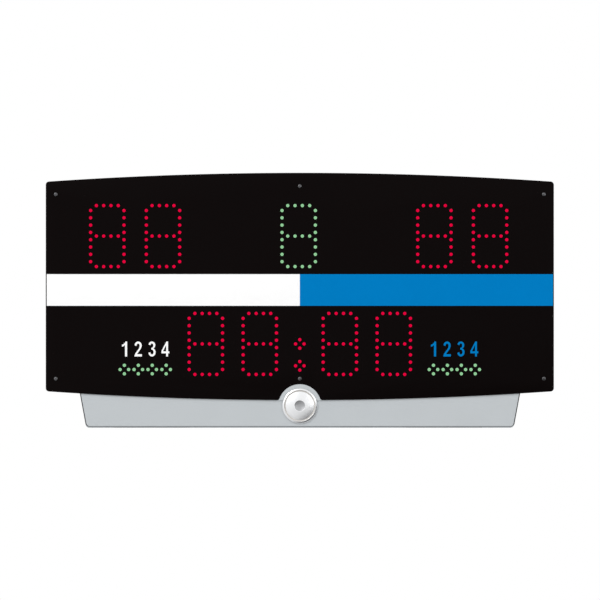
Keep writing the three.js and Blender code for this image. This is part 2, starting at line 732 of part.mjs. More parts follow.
function chinHousing() {
  const reach = chinTop + 2 * CHIN_CHAMFER;
  const outline = chinOutline(0, reach);
  const outer = solid(sheet(outline, CHIN_BACK - 2 * CHIN_CHAMFER, panelBack, [], CHIN_CHAMFER));
  const wide = chinHalfTop + reach;
  const above = solid(block(-wide, wide, 0, panelFront, chinTop, chinTop + reach));
  const behind = solid(block(-wide, wide, 0, CHIN_BACK, -CUT, chinTop + CUT));
  const inside = chinOutline(CHIN_WALL, chinTop - CHIN_WALL);
  const hollow = solid(sheet(inside, CHIN_BACK - CUT, chinFrontInside));
  const hornFit = HORN_BODY_RADIUS + CLEARANCE;
  const hornHole = depthBar(0, HORN_Z, hornFit, chinFrontInside - CUT, panelBack + CUT, ROUND_SIDES);
  const [low, high] = [chinTop - CHIN_WALL - CUT, chinTop + CUT];
  const passage = uprightBar(GROMMET_X, GROMMET_DEPTH, GROMMET_HOLE_RADIUS, low, high, ROUND_SIDES);
  let housing = cutBy(outer, above, behind, hollow, solid(hornHole), solid(passage));
  housing = cutBy(housing, bayOpening(powerBayX), bayOpening(serviceBayX));
  const bore = FIXING_RADIUS + CLEARANCE;
  for (const x of [-chinScrewX, chinScrewX]) {
    housing = housing.subtract(solid(uprightBar(x, bayMiddle, bore, low, high, BORE_SIDES)));
  }
  for (const x of [-coverScrewX, coverScrewX]) {
    const z = chinTop / 2;
    const boss = depthBar(x, z, BOSS_RADIUS, CHIN_BACK, panelBack - CHIN_WALL / 2, SMALL_SIDES);
    const hole = depthBar(x, z, bore, CHIN_BACK - CUT, CHIN_BACK + FIXING_LENGTH, BORE_SIDES);
    housing = housing.add(solid(boss)).subtract(solid(hole));
  }
  return housing;
}

function chinCover() {
  const holes = [-coverScrewX, coverScrewX].map((x) => (
    polygon(x, chinTop / 2, FIXING_RADIUS + CLEARANCE, BORE_SIDES)
  ));
  return sheet(chinOutline(0, chinTop), CHIN_BACK - COVER_THICKNESS, CHIN_BACK, holes);
}

// Small fixing: head first along its axis, then the shank
function fixingProfile(start, way) {
  const underHead = start + way * FIXING_HEAD_HEIGHT;
  const tip = underHead + way * (FIXING_LENGTH - CUT);
  const profile = [
    [0, start],
    [FIXING_HEAD_RADIUS * 0.7, start],
    [FIXING_HEAD_RADIUS, start + way * FIXING_HEAD_HEIGHT * 0.5],
    [FIXING_HEAD_RADIUS, underHead],
    [FIXING_RADIUS, underHead],
    [FIXING_RADIUS, tip],
    [0, tip],
  ];
  return profile;
}

function coverScrew(x) {
  const head = CHIN_BACK - COVER_THICKNESS - FIXING_HEAD_HEIGHT;
  return turnedFacingFront(fixingProfile(head, 1), x, chinTop / 2, SMALL_SIDES);
}

function chinScrew(x) {
  const head = chinTop - CHIN_WALL - FIXING_HEAD_HEIGHT;
  return turnedUpright(fixingProfile(head, 1), x, bayMiddle, SMALL_SIDES);
}

// Horn, from the front ring back to the nut that holds it in the chin
function hornRing() {
  const front = panelBack + HORN_RING_HEIGHT;
  const seat = panelBack + HORN_RING_SEAT;
  const inner = HORN_RADIUS - HORN_RING_WIDTH;
  const seatInner = HORN_BODY_RADIUS - HORN_BODY_WALL;
  const profile = [
    [seatInner, panelBack],
    [HORN_RADIUS, panelBack],
    [HORN_RADIUS, front - HORN_RING_WIDTH * 0.3],
    [HORN_RADIUS - HORN_RING_WIDTH * 0.3, front],
    [inner + HORN_RING_WIDTH * 0.3, front],
    [inner, front - HORN_RING_WIDTH * 0.3],
    [inner, seat],
    [seatInner, seat],
    [seatInner, panelBack],
  ];
  return turnedFacingFront(profile, 0, HORN_Z, ROUND_SIDES);
}

function hornFace() {
  const back = panelBack + HORN_RING_SEAT;
  const rim = back + HORN_FACE_THICKNESS;
  const outer = HORN_RADIUS - HORN_RING_WIDTH - HORN_GROOVE;
  const crown = rim + HORN_CROWN;
  const bowl = crown - HORN_BOWL_DEPTH;
  const middleRadius = (outer + HORN_PORT_RADIUS) / 2;
  const profile = [
    [HORN_PORT_RADIUS + HORN_BOWL_WALL, back],
    [outer, back],
    [outer, rim - HORN_CROWN * 0.5],
    [outer - HORN_CROWN * 0.5, rim],
    [middleRadius, rim + HORN_CROWN * 0.7],
    [HORN_PORT_RADIUS, crown],
    [HORN_PORT_RADIUS * 0.8, crown - HORN_BOWL_DEPTH * 0.45],
    [HORN_PORT_RADIUS * 0.5, crown - HORN_BOWL_DEPTH * 0.85],
    [HORN_BORE_RADIUS, bowl],
    [HORN_BORE_RADIUS, bowl - HORN_BOWL_WALL],
    [HORN_PORT_RADIUS * 0.5, crown - HORN_BOWL_DEPTH * 0.85 - HORN_BOWL_WALL],
    [HORN_PORT_RADIUS, back - HORN_BOWL_WALL],
    [HORN_PORT_RADIUS + HORN_BOWL_WALL, back],
  ];
  return turnedFacingFront(profile, 0, HORN_Z, ROUND_SIDES);
}

function hornBody() {
  const back = panelBack - HORN_BODY_LENGTH;
  const bore = HORN_BODY_RADIUS - HORN_BODY_WALL;
  const step = panelBack - HORN_STEP_DEPTH;
  const profile = [
    [HORN_WIRE_HOLE, back],
    [HORN_BODY_RADIUS, back],
    [HORN_BODY_RADIUS, panelBack],
    [bore, panelBack],
    [bore, step],
    [bore - HORN_STEP, step],
    [bore - HORN_STEP, back + HORN_BODY_WALL],
    [HORN_WIRE_HOLE, back + HORN_BODY_WALL],
    [HORN_WIRE_HOLE, back],
  ];
  return turnedFacingFront(profile, 0, HORN_Z, ROUND_SIDES);
}

function hornDiaphragm() {
  const back = panelBack - HORN_STEP_DEPTH;
  const radius = HORN_BODY_RADIUS - HORN_BODY_WALL - CLEARANCE;
  return depthBar(0, HORN_Z, radius, back, back + DIAPHRAGM_THICKNESS, ROUND_SIDES);
}

function hornNut() {
  const bore = HORN_BODY_RADIUS + CLEARANCE;
  const outer = HORN_BODY_RADIUS + NUT_WIDTH;
  const back = chinFrontInside - NUT_THICKNESS;
  const profile = [
    [bore, back],
    [outer, back],
    [outer, chinFrontInside],
    [bore, chinFrontInside],
    [bore, back],
  ];
  return turnedFacingFront(profile, 0, HORN_Z, ROUND_SIDES);
}

// An LED module: circuit board, four feet against the panel, and the LEDs that stand in its holes
function ledModule({ x, z, lights, half }) {
  const [halfX, halfZ] = half;
  const board = block(x - halfX, x + halfX, ledBoardBack, ledBoardFront, z - halfZ, z + halfZ);
  const root = ledBoardFront - BOARD_THICKNESS / 2;
  const top = panelFront + LED_PROUD;
  const parts = [solid(board)];
  const foot = BOARD_FOOT / 2;
  for (const side of [-1, 1]) {
    for (const end of [-1, 1]) {
      const footX = x + side * (halfX - foot);
      const footZ = z + end * (halfZ - foot);
      parts.push(solid(block(footX - foot, footX + foot, root, panelBack, footZ - foot, footZ + foot)));
    }
  }
  lights.forEach(([across, up]) => {
    parts.push(solid(depthBar(x + across, z + up, LED_RADIUS, root, top, LED_SIDES, LED_TURN)));
  });
  return joined(...parts);
}

// A bay: a cup let into the floor of the chin, with ears that rest on the floor inside
function bay(x) {
  const half = BAY_LENGTH / 2;
  const halfDepth = BAY_DEPTH / 2;
  const earTop = CHIN_WALL + BAY_EAR_THICKNESS;
  const shell = around(x, bayMiddle, half, halfDepth, 0, BAY_HEIGHT);
  const ears = around(x, bayMiddle, half + BAY_EAR, halfDepth, CHIN_WALL, earTop);
  const hollow = around(x, bayMiddle, half - BAY_WALL, halfDepth - BAY_WALL, -CUT, bayFloor);
  return joined(solid(shell), solid(ears)).subtract(solid(hollow));
}

function powerBay() {
  const unitX = UNIT_HALF_LENGTH + CLEARANCE;
  const unitDepth = UNIT_HALF_DEPTH + CLEARANCE;
  const consoleHalf = CONSOLE_HALF + CLEARANCE;
  const [low, top] = [bayFloor - CUT, BAY_HEIGHT + CUT];
  const unitHole = around(inletX, bayMiddle, unitX, unitDepth, low, top);
  const consoleHole = around(consoleX, bayMiddle, consoleHalf, consoleHalf, low, top);
  return cutBy(bay(powerBayX), solid(unitHole), solid(consoleHole));
}

function powerInlet() {
  const socketX = inletX + SOCKET_OFFSET;
  const rockerX = inletX + ROCKER_OFFSET;
  const middle = bayMiddle;
  const start = unitFace - CUT;
  const flangeX = UNIT_HALF_LENGTH + UNIT_FLANGE;
  const flangeDepth = UNIT_HALF_DEPTH + UNIT_FLANGE;
  const top = BAY_HEIGHT + UNIT_HEIGHT;
  const flange = around(inletX, middle, flangeX, flangeDepth, unitFace, bayFloor);
  const body = around(inletX, middle, UNIT_HALF_LENGTH, UNIT_HALF_DEPTH, unitFace, top);
  const [socketLeft, socketRight] = [socketX - SOCKET_HALF_WIDTH, socketX + SOCKET_HALF_WIDTH];
  const socketEnd = unitFace + SOCKET_DEPTH;
  const [socketBack, socketFront] = [middle - SOCKET_BEHIND, middle + SOCKET_AHEAD];
  const socket = block(socketLeft, socketRight, socketBack, socketFront, start, socketEnd);
  const channelTop = unitFace + FUSE_CHANNEL;
  const channel = around(socketX, fuseDepth, FUSE_HALF_WIDTH, FUSE_HALF_DEPTH, start, channelTop);
  const pocketX = ROCKER_HALF_LENGTH + ROCKER_SWING;
  const pocketDepth = ROCKER_HALF_DEPTH + CLEARANCE;
  const pocket = around(rockerX, middle, pocketX, pocketDepth, start, unitFace + ROCKER_POCKET);
  const axleReach = ROCKER_HALF_DEPTH + ROCKER_AXLE_REACH + CLEARANCE;
  const axleZ = unitFace - ROCKER_TIP + ROCKER_PIVOT;
  const axleBore = ROCKER_AXLE_RADIUS + CLEARANCE;
  const [axleBack, axleFront] = [middle - axleReach, middle + axleReach];
  const axleHole = depthBar(rockerX, axleZ, axleBore, axleBack, axleFront, SMALL_SIDES);
  let unit = joined(solid(flange), solid(body));
  unit = cutBy(unit, solid(socket), solid(channel), solid(pocket), solid(axleHole));
  const pinFoot = socketEnd - PIN_LENGTH;
  const pinBack = middle + PIN_AHEAD;
  for (const side of [-1, 0, 1]) {
    const pinX = socketX + side * PIN_SPACING;
    const [left, right] = [pinX - PIN_WIDTH / 2, pinX + PIN_WIDTH / 2];
    unit = unit.add(solid(block(left, right, pinBack, pinBack + PIN_DEPTH, pinFoot, socketEnd + CUT)));
  }
  return unit;
}

function fuseDrawer() {
  const x = inletX + SOCKET_OFFSET;
  const halfX = FUSE_HALF_WIDTH - CLEARANCE;
  const halfDepth = FUSE_HALF_DEPTH - CLEARANCE;
  const faceX = FUSE_HALF_WIDTH + FUSE_FACE_MARGIN;
  const faceDepth = FUSE_HALF_DEPTH + FUSE_FACE_MARGIN;
  const faceTop = unitFace - CLEARANCE;
  const faceBottom = faceTop - FUSE_FACE_THICKNESS;
  const root = faceTop - FUSE_FACE_THICKNESS / 2;
  const carrier = around(x, fuseDepth, halfX, halfDepth, root, faceTop + FUSE_LENGTH);
  const face = around(x, fuseDepth, faceX, faceDepth, faceBottom, faceTop);
  return joined(solid(carrier), solid(face));
}

// The rocker is drawn level about its axle, then set on its tilt
function powerRocker() {
  const outline = [
    new THREE.Vector2(-ROCKER_HALF_LENGTH, -ROCKER_PIVOT),
    new THREE.Vector2(0, ROCKER_HOLLOW - ROCKER_PIVOT),
    new THREE.Vector2(ROCKER_HALF_LENGTH, -ROCKER_PIVOT),
    new THREE.Vector2(ROCKER_HALF_LENGTH - ROCKER_TAPER, ROCKER_HEIGHT - ROCKER_PIVOT),
    new THREE.Vector2(ROCKER_TAPER - ROCKER_HALF_LENGTH, ROCKER_HEIGHT - ROCKER_PIVOT),
  ];
  const key = solid(sheet(outline, -ROCKER_HALF_DEPTH, ROCKER_HALF_DEPTH));
  const reach = ROCKER_HALF_DEPTH + ROCKER_AXLE_REACH;
  return key.add(solid(depthBar(0, 0, ROCKER_AXLE_RADIUS, -reach, reach, SMALL_SIDES)));
}

function consoleSocket() {
  const half = CONSOLE_HALF;
  const flangeHalf = CONSOLE_HALF + CONSOLE_FLANGE;
  const middle = bayMiddle;
  const axisZ = bayFloor - CAP_AXIS_DROP;
  const top = BAY_HEIGHT + CONSOLE_HEIGHT;
  const [jackStart, jackEnd] = [consoleFace - CUT, consoleFace + JACK_DEPTH];
  const flange = around(consoleX, middle, flangeHalf, flangeHalf, consoleFace, bayFloor);
  const body = around(consoleX, middle, half, half, consoleFace, top);
  const jack = around(consoleX, middle, JACK_HALF_WIDTH, JACK_HALF_DEPTH, jackStart, jackEnd);
  let socket = joined(solid(flange), solid(body));
  const earMiddle = CAP_HALF_WIDTH - CAP_EAR;
  const [earBack, earFront] = [capAxisDepth - CAP_EAR / 2, capAxisDepth + CAP_EAR_REACH];
  for (const x of [consoleX - earMiddle, consoleX + earMiddle]) {
    const [near, far] = [x - CAP_EAR / 2, x + CAP_EAR / 2];
    socket = socket.add(solid(block(near, far, earBack, earFront, axisZ - CAP_EAR / 2, bayFloor)));
  }
  const [left, right] = [consoleX - earMiddle, consoleX + earMiddle];
  const pin = crossBar(left, right, capAxisDepth, axisZ, CAP_PIN_RADIUS, SMALL_SIDES);
  return socket.add(solid(pin)).subtract(solid(jack));
}

function socketCap() {
  const axisZ = bayFloor - CAP_AXIS_DROP;
  const barrelHalf = CAP_HALF_WIDTH - CAP_EAR * 1.5 - CLEARANCE;
  const [left, right] = [consoleX - barrelHalf, consoleX + barrelHalf];
  const [plateLeft, plateRight] = [consoleX - CAP_HALF_WIDTH, consoleX + CAP_HALF_WIDTH];
  const plateBack = capAxisDepth + CAP_TONGUE;
  const top = axisZ + CAP_THICKNESS * 0.6;
  const bottom = top - CAP_THICKNESS;
  const hole = CAP_PIN_RADIUS + CLEARANCE;
  const barrel = crossBar(left, right, capAxisDepth, axisZ, CAP_BARREL_RADIUS, SMALL_SIDES);
  const tongue = block(left, right, capAxisDepth, plateBack + CUT, bottom, top);
  const plate = block(plateLeft, plateRight, plateBack, bayMiddle + CAP_AHEAD, bottom, top);
  const bore = crossBar(left - CUT, right + CUT, capAxisDepth, axisZ, hole, SMALL_SIDES);
  return joined(solid(barrel), solid(tongue), solid(plate)).subtract(solid(bore));
}

function serviceBay() {
  const [low, top] = [bayFloor - CUT, BAY_HEIGHT + CUT];
  const knobBore = KNOB_SHAFT_RADIUS + CLEARANCE;
  const buttonBore = BUTTON_STEM_RADIUS + CLEARANCE;
  const knobHole = uprightBar(knobX, bayMiddle, knobBore, low, top, SMALL_SIDES);
  const buttonHole = uprightBar(buttonX, bayMiddle, buttonBore, low, top, SMALL_SIDES);
  let cup = cutBy(bay(serviceBayX), solid(knobHole), solid(buttonHole));
  const lugBack = bayBack + BAY_WALL / 2;
  const lugFront = doorAxisDepth + DOOR_LUG_REACH;
  const lugMiddle = doorPinReach - DOOR_LUG / 2;
  for (const x of [serviceBayX - lugMiddle, serviceBayX + lugMiddle]) {
    const [left, right] = [x - DOOR_LUG / 2, x + DOOR_LUG / 2];
    cup = cup.add(solid(block(left, right, lugBack, lugFront, DOOR_GAP, DOOR_LUG_TOP)));
  }
  const [left, right] = [serviceBayX - doorPinReach - CLEARANCE, serviceBayX + doorPinReach + CLEARANCE];
  const pinBore = DOOR_PIN_RADIUS + CLEARANCE;
  const pinHole = crossBar(left, right, doorAxisDepth, DOOR_AXIS_Z, pinBore, SMALL_SIDES);
  const wallFace = bayFront - BAY_WALL;
  const ledgeTop = LATCH_CAM_Z - CLEARANCE;
  const [ledgeBack, ledgeFront] = [wallFace - CATCH_REACH, wallFace + BAY_WALL / 2];
  const ledgeLeft = serviceBayX - CATCH_LENGTH / 2;
  const ledgeRight = serviceBayX + CATCH_LENGTH / 2;
  const ledge = block(ledgeLeft, ledgeRight, ledgeBack, ledgeFront, ledgeTop - CATCH_THICKNESS, ledgeTop);
  return cup.subtract(solid(pinHole)).add(solid(ledge));
}

function doorHingePin() {
  const [left, right] = [serviceBayX - doorPinReach, serviceBayX + doorPinReach];
  return crossBar(left, right, doorAxisDepth, DOOR_AXIS_Z, DOOR_PIN_RADIUS, SMALL_SIDES);
}

function serviceDoor() {
  const x = serviceBayX;
  const half = BAY_LENGTH / 2 - BAY_WALL - DOOR_GAP;
  const barrelHalf = doorPinReach - DOOR_LUG - CLEARANCE;
  const back = doorAxisDepth + lugSwing + CLEARANCE;
  const front = bayFront - BAY_WALL - DOOR_GAP;
  const [left, right] = [x - barrelHalf, x + barrelHalf];
  const [low, high] = [-CUT, DOOR_THICKNESS + CUT];
  const hole = DOOR_PIN_RADIUS + CLEARANCE;
  const plate = block(x - half, x + half, back, front, 0, DOOR_THICKNESS);
  const tongue = block(left, right, doorAxisDepth, back + CUT, 0, DOOR_THICKNESS);
  const barrel = crossBar(left, right, doorAxisDepth, DOOR_AXIS_Z, DOOR_BARREL_RADIUS, SMALL_SIDES);
  const bore = crossBar(left - CUT, right + CUT, doorAxisDepth, DOOR_AXIS_Z, hole, SMALL_SIDES);
  const shankHole = uprightBar(x, latchDepth, LATCH_SHANK_RADIUS + CLEARANCE, low, high, SMALL_SIDES);
  const headTop = LATCH_HEAD_HEIGHT + CLEARANCE;
  const headHole = uprightBar(x, latchDepth, LATCH_HEAD_RADIUS + CLEARANCE, low, headTop, ROUND_SIDES);
  const leaf = joined(solid(plate), solid(tongue), solid(barrel));
  return cutBy(leaf, solid(bore), solid(shankHole), solid(headHole));
}

function doorLatch() {
  const collar = DOOR_THICKNESS + CLEARANCE;
  const collarTop = collar + LATCH_COLLAR_HEIGHT;
  const camTop = LATCH_CAM_Z + LATCH_CAM_THICKNESS;
  const shankTop = camTop - LATCH_CAM_THICKNESS / 2;
  const profile = [
    [0, 0],
    [LATCH_HEAD_RADIUS, 0],
    [LATCH_HEAD_RADIUS, LATCH_HEAD_HEIGHT],
    [LATCH_SHANK_RADIUS, LATCH_HEAD_HEIGHT],
    [LATCH_SHANK_RADIUS, collar],
    [LATCH_COLLAR_RADIUS, collar],
    [LATCH_COLLAR_RADIUS, collarTop],
    [LATCH_SHANK_RADIUS, collarTop],
    [LATCH_SHANK_RADIUS, shankTop],
    [0, shankTop],
  ];
  const spindle = turnedUpright(profile, serviceBayX, latchDepth, SMALL_SIDES);
  const halfWidth = LATCH_CAM_WIDTH / 2;
  const cam = around(serviceBayX, latchDepth, latchCamHalf, halfWidth, LATCH_CAM_Z, camTop);
  return joined(solid(spindle), solid(cam));
}

function addressKnob() {
  const top = bayFloor - 2 * CLEARANCE;
  const bottom = top - KNOB_HEIGHT;
  const profile = [
    [0, bottom],
    [KNOB_RADIUS * 0.86, bottom],
    [KNOB_RADIUS, bottom + KNOB_HEIGHT * 0.15],
    [KNOB_RADIUS, top],
    [KNOB_SHAFT_RADIUS, top],
    [KNOB_SHAFT_RADIUS, top + KNOB_SHAFT_LENGTH],
    [0, top + KNOB_SHAFT_LENGTH],
  ];
  const body = turnedUpright(profile, knobX, bayMiddle, SMALL_SIDES);
  const [left, right] = [knobX - KNOB_MARK_WIDTH / 2, knobX + KNOB_MARK_WIDTH / 2];
  const rim = bayMiddle + KNOB_RADIUS + CUT;
  const mark = block(left, right, bayMiddle, rim, bottom - CUT, bottom + KNOB_MARK_DEPTH);
  return solid(body).subtract(solid(mark));
}

function testButton() {
  const top = bayFloor - BUTTON_TRAVEL - CLEARANCE;
  const bottom = top - BUTTON_HEIGHT;
  const collar = BAY_HEIGHT + CLEARANCE;
  const end = BAY_HEIGHT + SWITCH_HEIGHT - SWITCH_ROOF - BUTTON_TRAVEL - CUT;
  const profile = [
    [0, bottom],
    [BUTTON_RADIUS * 0.85, bottom],
    [BUTTON_RADIUS, bottom + BUTTON_HEIGHT * 0.2],
    [BUTTON_RADIUS, top],
    [BUTTON_STEM_RADIUS, top],
    [BUTTON_STEM_RADIUS, collar],
    [BUTTON_COLLAR_RADIUS, collar],
    [BUTTON_COLLAR_RADIUS, end],
    [0, end],
  ];
  return turnedUpright(profile, buttonX, bayMiddle, SMALL_SIDES);
}

// The service board carries the two switch bodies that rest on the bay's floor
function serviceBoard() {
  const middle = bayMiddle;
  const bodyTop = BAY_HEIGHT + SWITCH_HEIGHT;
  const bottom = bodyTop - CUT;
  const [halfLength, halfDepth] = [SERVICE_BOARD_HALF_LENGTH, SERVICE_BOARD_HALF_DEPTH];
  const board = around(serviceBayX, middle, halfLength, halfDepth, bottom, bottom + BOARD_THICKNESS);
  const body = (x) => solid(around(x, middle, SWITCH_HALF, SWITCH_HALF, BAY_HEIGHT, bodyTop));
  const bore = (x, radius) => {
    const fit = radius + CLEARANCE;
    return solid(uprightBar(x, middle, fit, BAY_HEIGHT - CUT, bodyTop - SWITCH_ROOF, SMALL_SIDES));
  };
  const bodies = joined(solid(board), body(knobX), body(buttonX));
  return cutBy(bodies, bore(knobX, KNOB_SHAFT_RADIUS), bore(buttonX, BUTTON_COLLAR_RADIUS));
}

function powerSupply() {
  const bottom = supplyZ - SUPPLY_HEIGHT / 2;
  const halfDepth = SUPPLY_DEPTH / 2;
  const middle = caseInside + halfDepth;
  const [low, high] = [bottom - TERMINAL_HEIGHT, bottom + CUT];
  const box = around(SUPPLY_X, middle, SUPPLY_LENGTH / 2, halfDepth, bottom, bottom + SUPPLY_HEIGHT);
  const terminals = around(SUPPLY_X, middle, TERMINAL_LENGTH / 2, TERMINAL_DEPTH / 2, low, high);
  return joined(solid(box), solid(terminals));
}

function controllerBoard() {
  const half = CONTROLLER_LENGTH / 2;
  const [left, right] = [CONTROLLER_X - half, CONTROLLER_X + half];
  const bottom = supplyZ - CONTROLLER_HEIGHT / 2;
  const face = controllerBack + BOARD_THICKNESS;
  const root = face - CUT;
  const headerTop = bottom + HEADER_HEIGHT;
  const chipTop = supplyZ + CHIP_SIZE;
  const board = block(left, right, controllerBack, face, bottom, bottom + CONTROLLER_HEIGHT);
  const chips = [-2.5, -0.5, 1.5].map((step) => {
    const chipLeft = CONTROLLER_X + step * CHIP_SIZE;
    return block(chipLeft, chipLeft + CHIP_SIZE, root, face + CHIP_THICKNESS, supplyZ, chipTop);
  });
  const headers = [-1.5, 0.5].map((step) => {
    const headerLeft = CONTROLLER_X + step * HEADER_LENGTH;
    return block(headerLeft, headerLeft + HEADER_LENGTH, root, face + HEADER_DEPTH, bottom, headerTop);
  });
  return joined(solid(board), ...chips.map(solid), ...headers.map(solid));
}

function radioModule() {
  const half = RADIO_LENGTH / 2;
  const bottom = RADIO_Z - RADIO_HEIGHT / 2;
  const top = bottom + RADIO_HEIGHT;
  const front = chinFrontInside - BOARD_STANDOFF;
  const back = front - BOARD_THICKNESS;
  const inside = front - BOARD_THICKNESS / 2;
  const canBack = back - RADIO_CAN_DEPTH;
  const [canLeft, canRight] = [RADIO_X - RADIO_CAN / 2, RADIO_X + RADIO_CAN / 2];
  const [canLow, canHigh] = [RADIO_Z - RADIO_CAN / 2, RADIO_Z + RADIO_CAN / 2];
  const board = block(RADIO_X - half, RADIO_X + half, back, front, bottom, top);
  const can = block(canLeft, canRight, canBack, inside, canLow, canHigh);
  const feet = [-1, 1].map((side) => {
    const x = RADIO_X + side * (half - BOARD_FOOT);
    return solid(block(x - BOARD_FOOT / 2, x + BOARD_FOOT / 2, inside, chinFrontInside, bottom, top));
  });
  const aerialStart = canRight - CUT;
  const aerialDepth = back - RADIO_CAN_DEPTH / 2;
  const aerialEnd = aerialStart + AERIAL_LENGTH;
  const aerial = crossBar(aerialStart, aerialEnd, aerialDepth, RADIO_Z, AERIAL_RADIUS, LEAD_SIDES);
  return joined(solid(board), solid(can), ...feet, solid(aerial));
}

// Flat harness behind the LED boards: one run across and a branch to every board
function displayHarness() {
  const front = ledBoardBack - CLEARANCE;
  const back = front - HARNESS_THICKNESS;
  const half = HARNESS_WIDTH / 2;
  const [low, high] = [harnessZ - half, harnessZ + half];
  const run = block(ledModules[0].x - half, ledModules[4].x + half, back, front, low, high);
  const branches = ledModules.map(({ x, z, half: size }) => {
    const edge = z > harnessZ ? z - size[1] + HARNESS_WIDTH : z + size[1] - HARNESS_WIDTH;
    const [from, to] = [Math.min(edge, harnessZ), Math.max(edge, harnessZ)];
    return solid(block(x - half, x + half, back, front, from, to));
  });
  const headerX = CONTROLLER_X + HEADER_LENGTH;
  const [left, right] = [headerX - half, headerX + half];
  const tailBack = controllerBack + BOARD_THICKNESS + HEADER_DEPTH + CLEARANCE;
  const dropFront = tailBack + HARNESS_THICKNESS;
  const dropFoot = supplyZ - CONTROLLER_HEIGHT / 2;
  const tail = block(left, right, tailBack, front, low, low + HARNESS_THICKNESS);
  const drop = block(left, right, tailBack, dropFront, dropFoot, harnessZ);
  return joined(solid(run), ...branches, solid(tail), solid(drop));
}

function cableGrommet() {
  const neck = GROMMET_HOLE_RADIUS - CLEARANCE;
  const flange = GROMMET_HOLE_RADIUS + GROMMET_FLANGE;
  const low = chinTop - CHIN_WALL - CLEARANCE;
  const high = caseFloor + CLEARANCE;
  const profile = [
    [GROMMET_BORE_RADIUS, low - GROMMET_LIP],
    [flange, low - GROMMET_LIP],
    [flange, low],
    [neck, low],
    [neck, high],
    [flange, high],
    [flange, high + GROMMET_LIP],
    [GROMMET_BORE_RADIUS, high + GROMMET_LIP],
    [GROMMET_BORE_RADIUS, low - GROMMET_LIP],
  ];
  return turnedUpright(profile, GROMMET_X, GROMMET_DEPTH, ROUND_SIDES);
}

// A lead along points given as x, depth and height
function lead(route, radius) {
  const points = route.map(([x, depth, z]) => new THREE.Vector3(x, -depth, z));
  const section = new THREE.Shape(polygon(0, 0, radius, LEAD_SIDES));
  const extrudePath = new THREE.CatmullRomCurve3(points);
  return new THREE.ExtrudeGeometry(section, { steps: LEAD_STEPS, bevelEnabled: false, extrudePath });
}

const supplyFoot = supplyZ - SUPPLY_HEIGHT / 2 - TERMINAL_HEIGHT - CLEARANCE;
const headerFoot = supplyZ - CONTROLLER_HEIGHT / 2 - CLEARANCE;
const headerDepth = controllerBack + BOARD_THICKNESS + HEADER_DEPTH / 2;
const supplyDepth = caseInside + SUPPLY_DEPTH / 2;

// Points that a lead passes on its way, as shares of the panel's half width, depth and height
const wayPoints = (shares) => shares.map(([x, depth, z]) => [x * panelHalf, depth * panelBack, z * panelTop]);
const mainsWayShares = {
  chin: [[-0.55, 0.63, 0.12], [-0.383, 0.593, 0.113]],
  case: [[-0.333, 0.512, 0.332]],
};
const signalWayShares = {
  chin: [[-0.383, 0.767, 0.103], [-0.293, 0.698, 0.116]],
  case: [[-0.2, 0.558, 0.316], [0.1, 0.512, 0.399]],
};
const hornWayShares = {
  chin: [[-0.05, 0.43, 0.086], [-0.183, 0.442, 0.093], [-0.28, 0.488, 0.11]],
  case: [[-0.183, 0.419, 0.299], [0.117, 0.372, 0.375]],
};
const supplyWayShares = [[-0.183, 0.581, 0.429], [0, 0.628, 0.429], [0.25, 0.628, 0.429]];

// The straight stretch of a lead through the grommet
function grommetStretch(aside, ahead) {
  const heights = [chinTop - LEAD_BELOW_CHIN_TOP, chinTop, caseFloor + LEAD_ABOVE_CASE_FLOOR];
  return heights.map((z) => [GROMMET_X + aside, GROMMET_DEPTH + ahead, z]);
}

// The last stretch of a lead, straight up to what it plugs into
function plugStretch(x, depth, z) {
  return [[x, depth, z - LEAD_DROP], [x, depth, z]];
}

function mainsLead() {
  const start = BAY_HEIGHT + UNIT_HEIGHT + CLEARANCE;
  return lead([
    [inletX, bayMiddle, start],
    [inletX, bayMiddle, start + LEAD_OUT],
    ...wayPoints(mainsWayShares.chin),
    ...grommetStretch(-GROMMET_LEAD_ASIDE, 0),
    ...wayPoints(mainsWayShares.case),
    ...plugStretch(SUPPLY_X - TERMINAL_LEAD_ASIDE, supplyDepth, supplyFoot),
  ], MAINS_LEAD_RADIUS);
}

function signalLead() {
  const start = BAY_HEIGHT + CONSOLE_HEIGHT + CLEARANCE;
  return lead([
    [consoleX, bayMiddle, start],
    [consoleX, bayMiddle, start + LEAD_OUT],
    ...wayPoints(signalWayShares.chin),
    ...grommetStretch(GROMMET_LEAD_ASIDE, GROMMET_LEAD_AHEAD),
    ...wayPoints(signalWayShares.case),
    ...plugStretch(CONTROLLER_X - HEADER_LENGTH - HEADER_LEAD_ASIDE, headerDepth, headerFoot),
  ], SMALL_LEAD_RADIUS);
}

function hornLead() {
  const start = panelBack - HORN_BODY_LENGTH - CLEARANCE;
  return lead([
    [0, start, HORN_Z],
    [0, start - LEAD_OUT, HORN_Z],
    ...wayPoints(hornWayShares.chin),
    ...grommetStretch(GROMMET_LEAD_ASIDE, -GROMMET_LEAD_AHEAD),
    ...wayPoints(hornWayShares.case),
    ...plugStretch(CONTROLLER_X - HEADER_LENGTH + HEADER_LEAD_ASIDE, headerDepth, headerFoot),
  ], SMALL_LEAD_RADIUS);
}

function supplyLead() {
  const x = SUPPLY_X + TERMINAL_LEAD_ASIDE;
  return lead([
    ...plugStretch(x, supplyDepth, supplyFoot).reverse(),
    ...wayPoints(supplyWayShares),
    ...plugStretch(CONTROLLER_X + HEADER_LENGTH, headerDepth, headerFoot),
  ], SUPPLY_LEAD_RADIUS);
}

// Rail on the wall and cleat on the case, drawn as sections in depth and height
function section(corners, length) {
  const shape = new THREE.Shape(corners.map(([depth, z]) => new THREE.Vector2(depth, z)));
  const geometry = new THREE.ExtrudeGeometry(shape, { depth: length, steps: 1, bevelEnabled: false });
  geometry.translate(0, 0, -length / 2);
  geometry.rotateX(Math.PI / 2);
  geometry.rotateZ(-Math.PI / 2);
  return geometry;
}

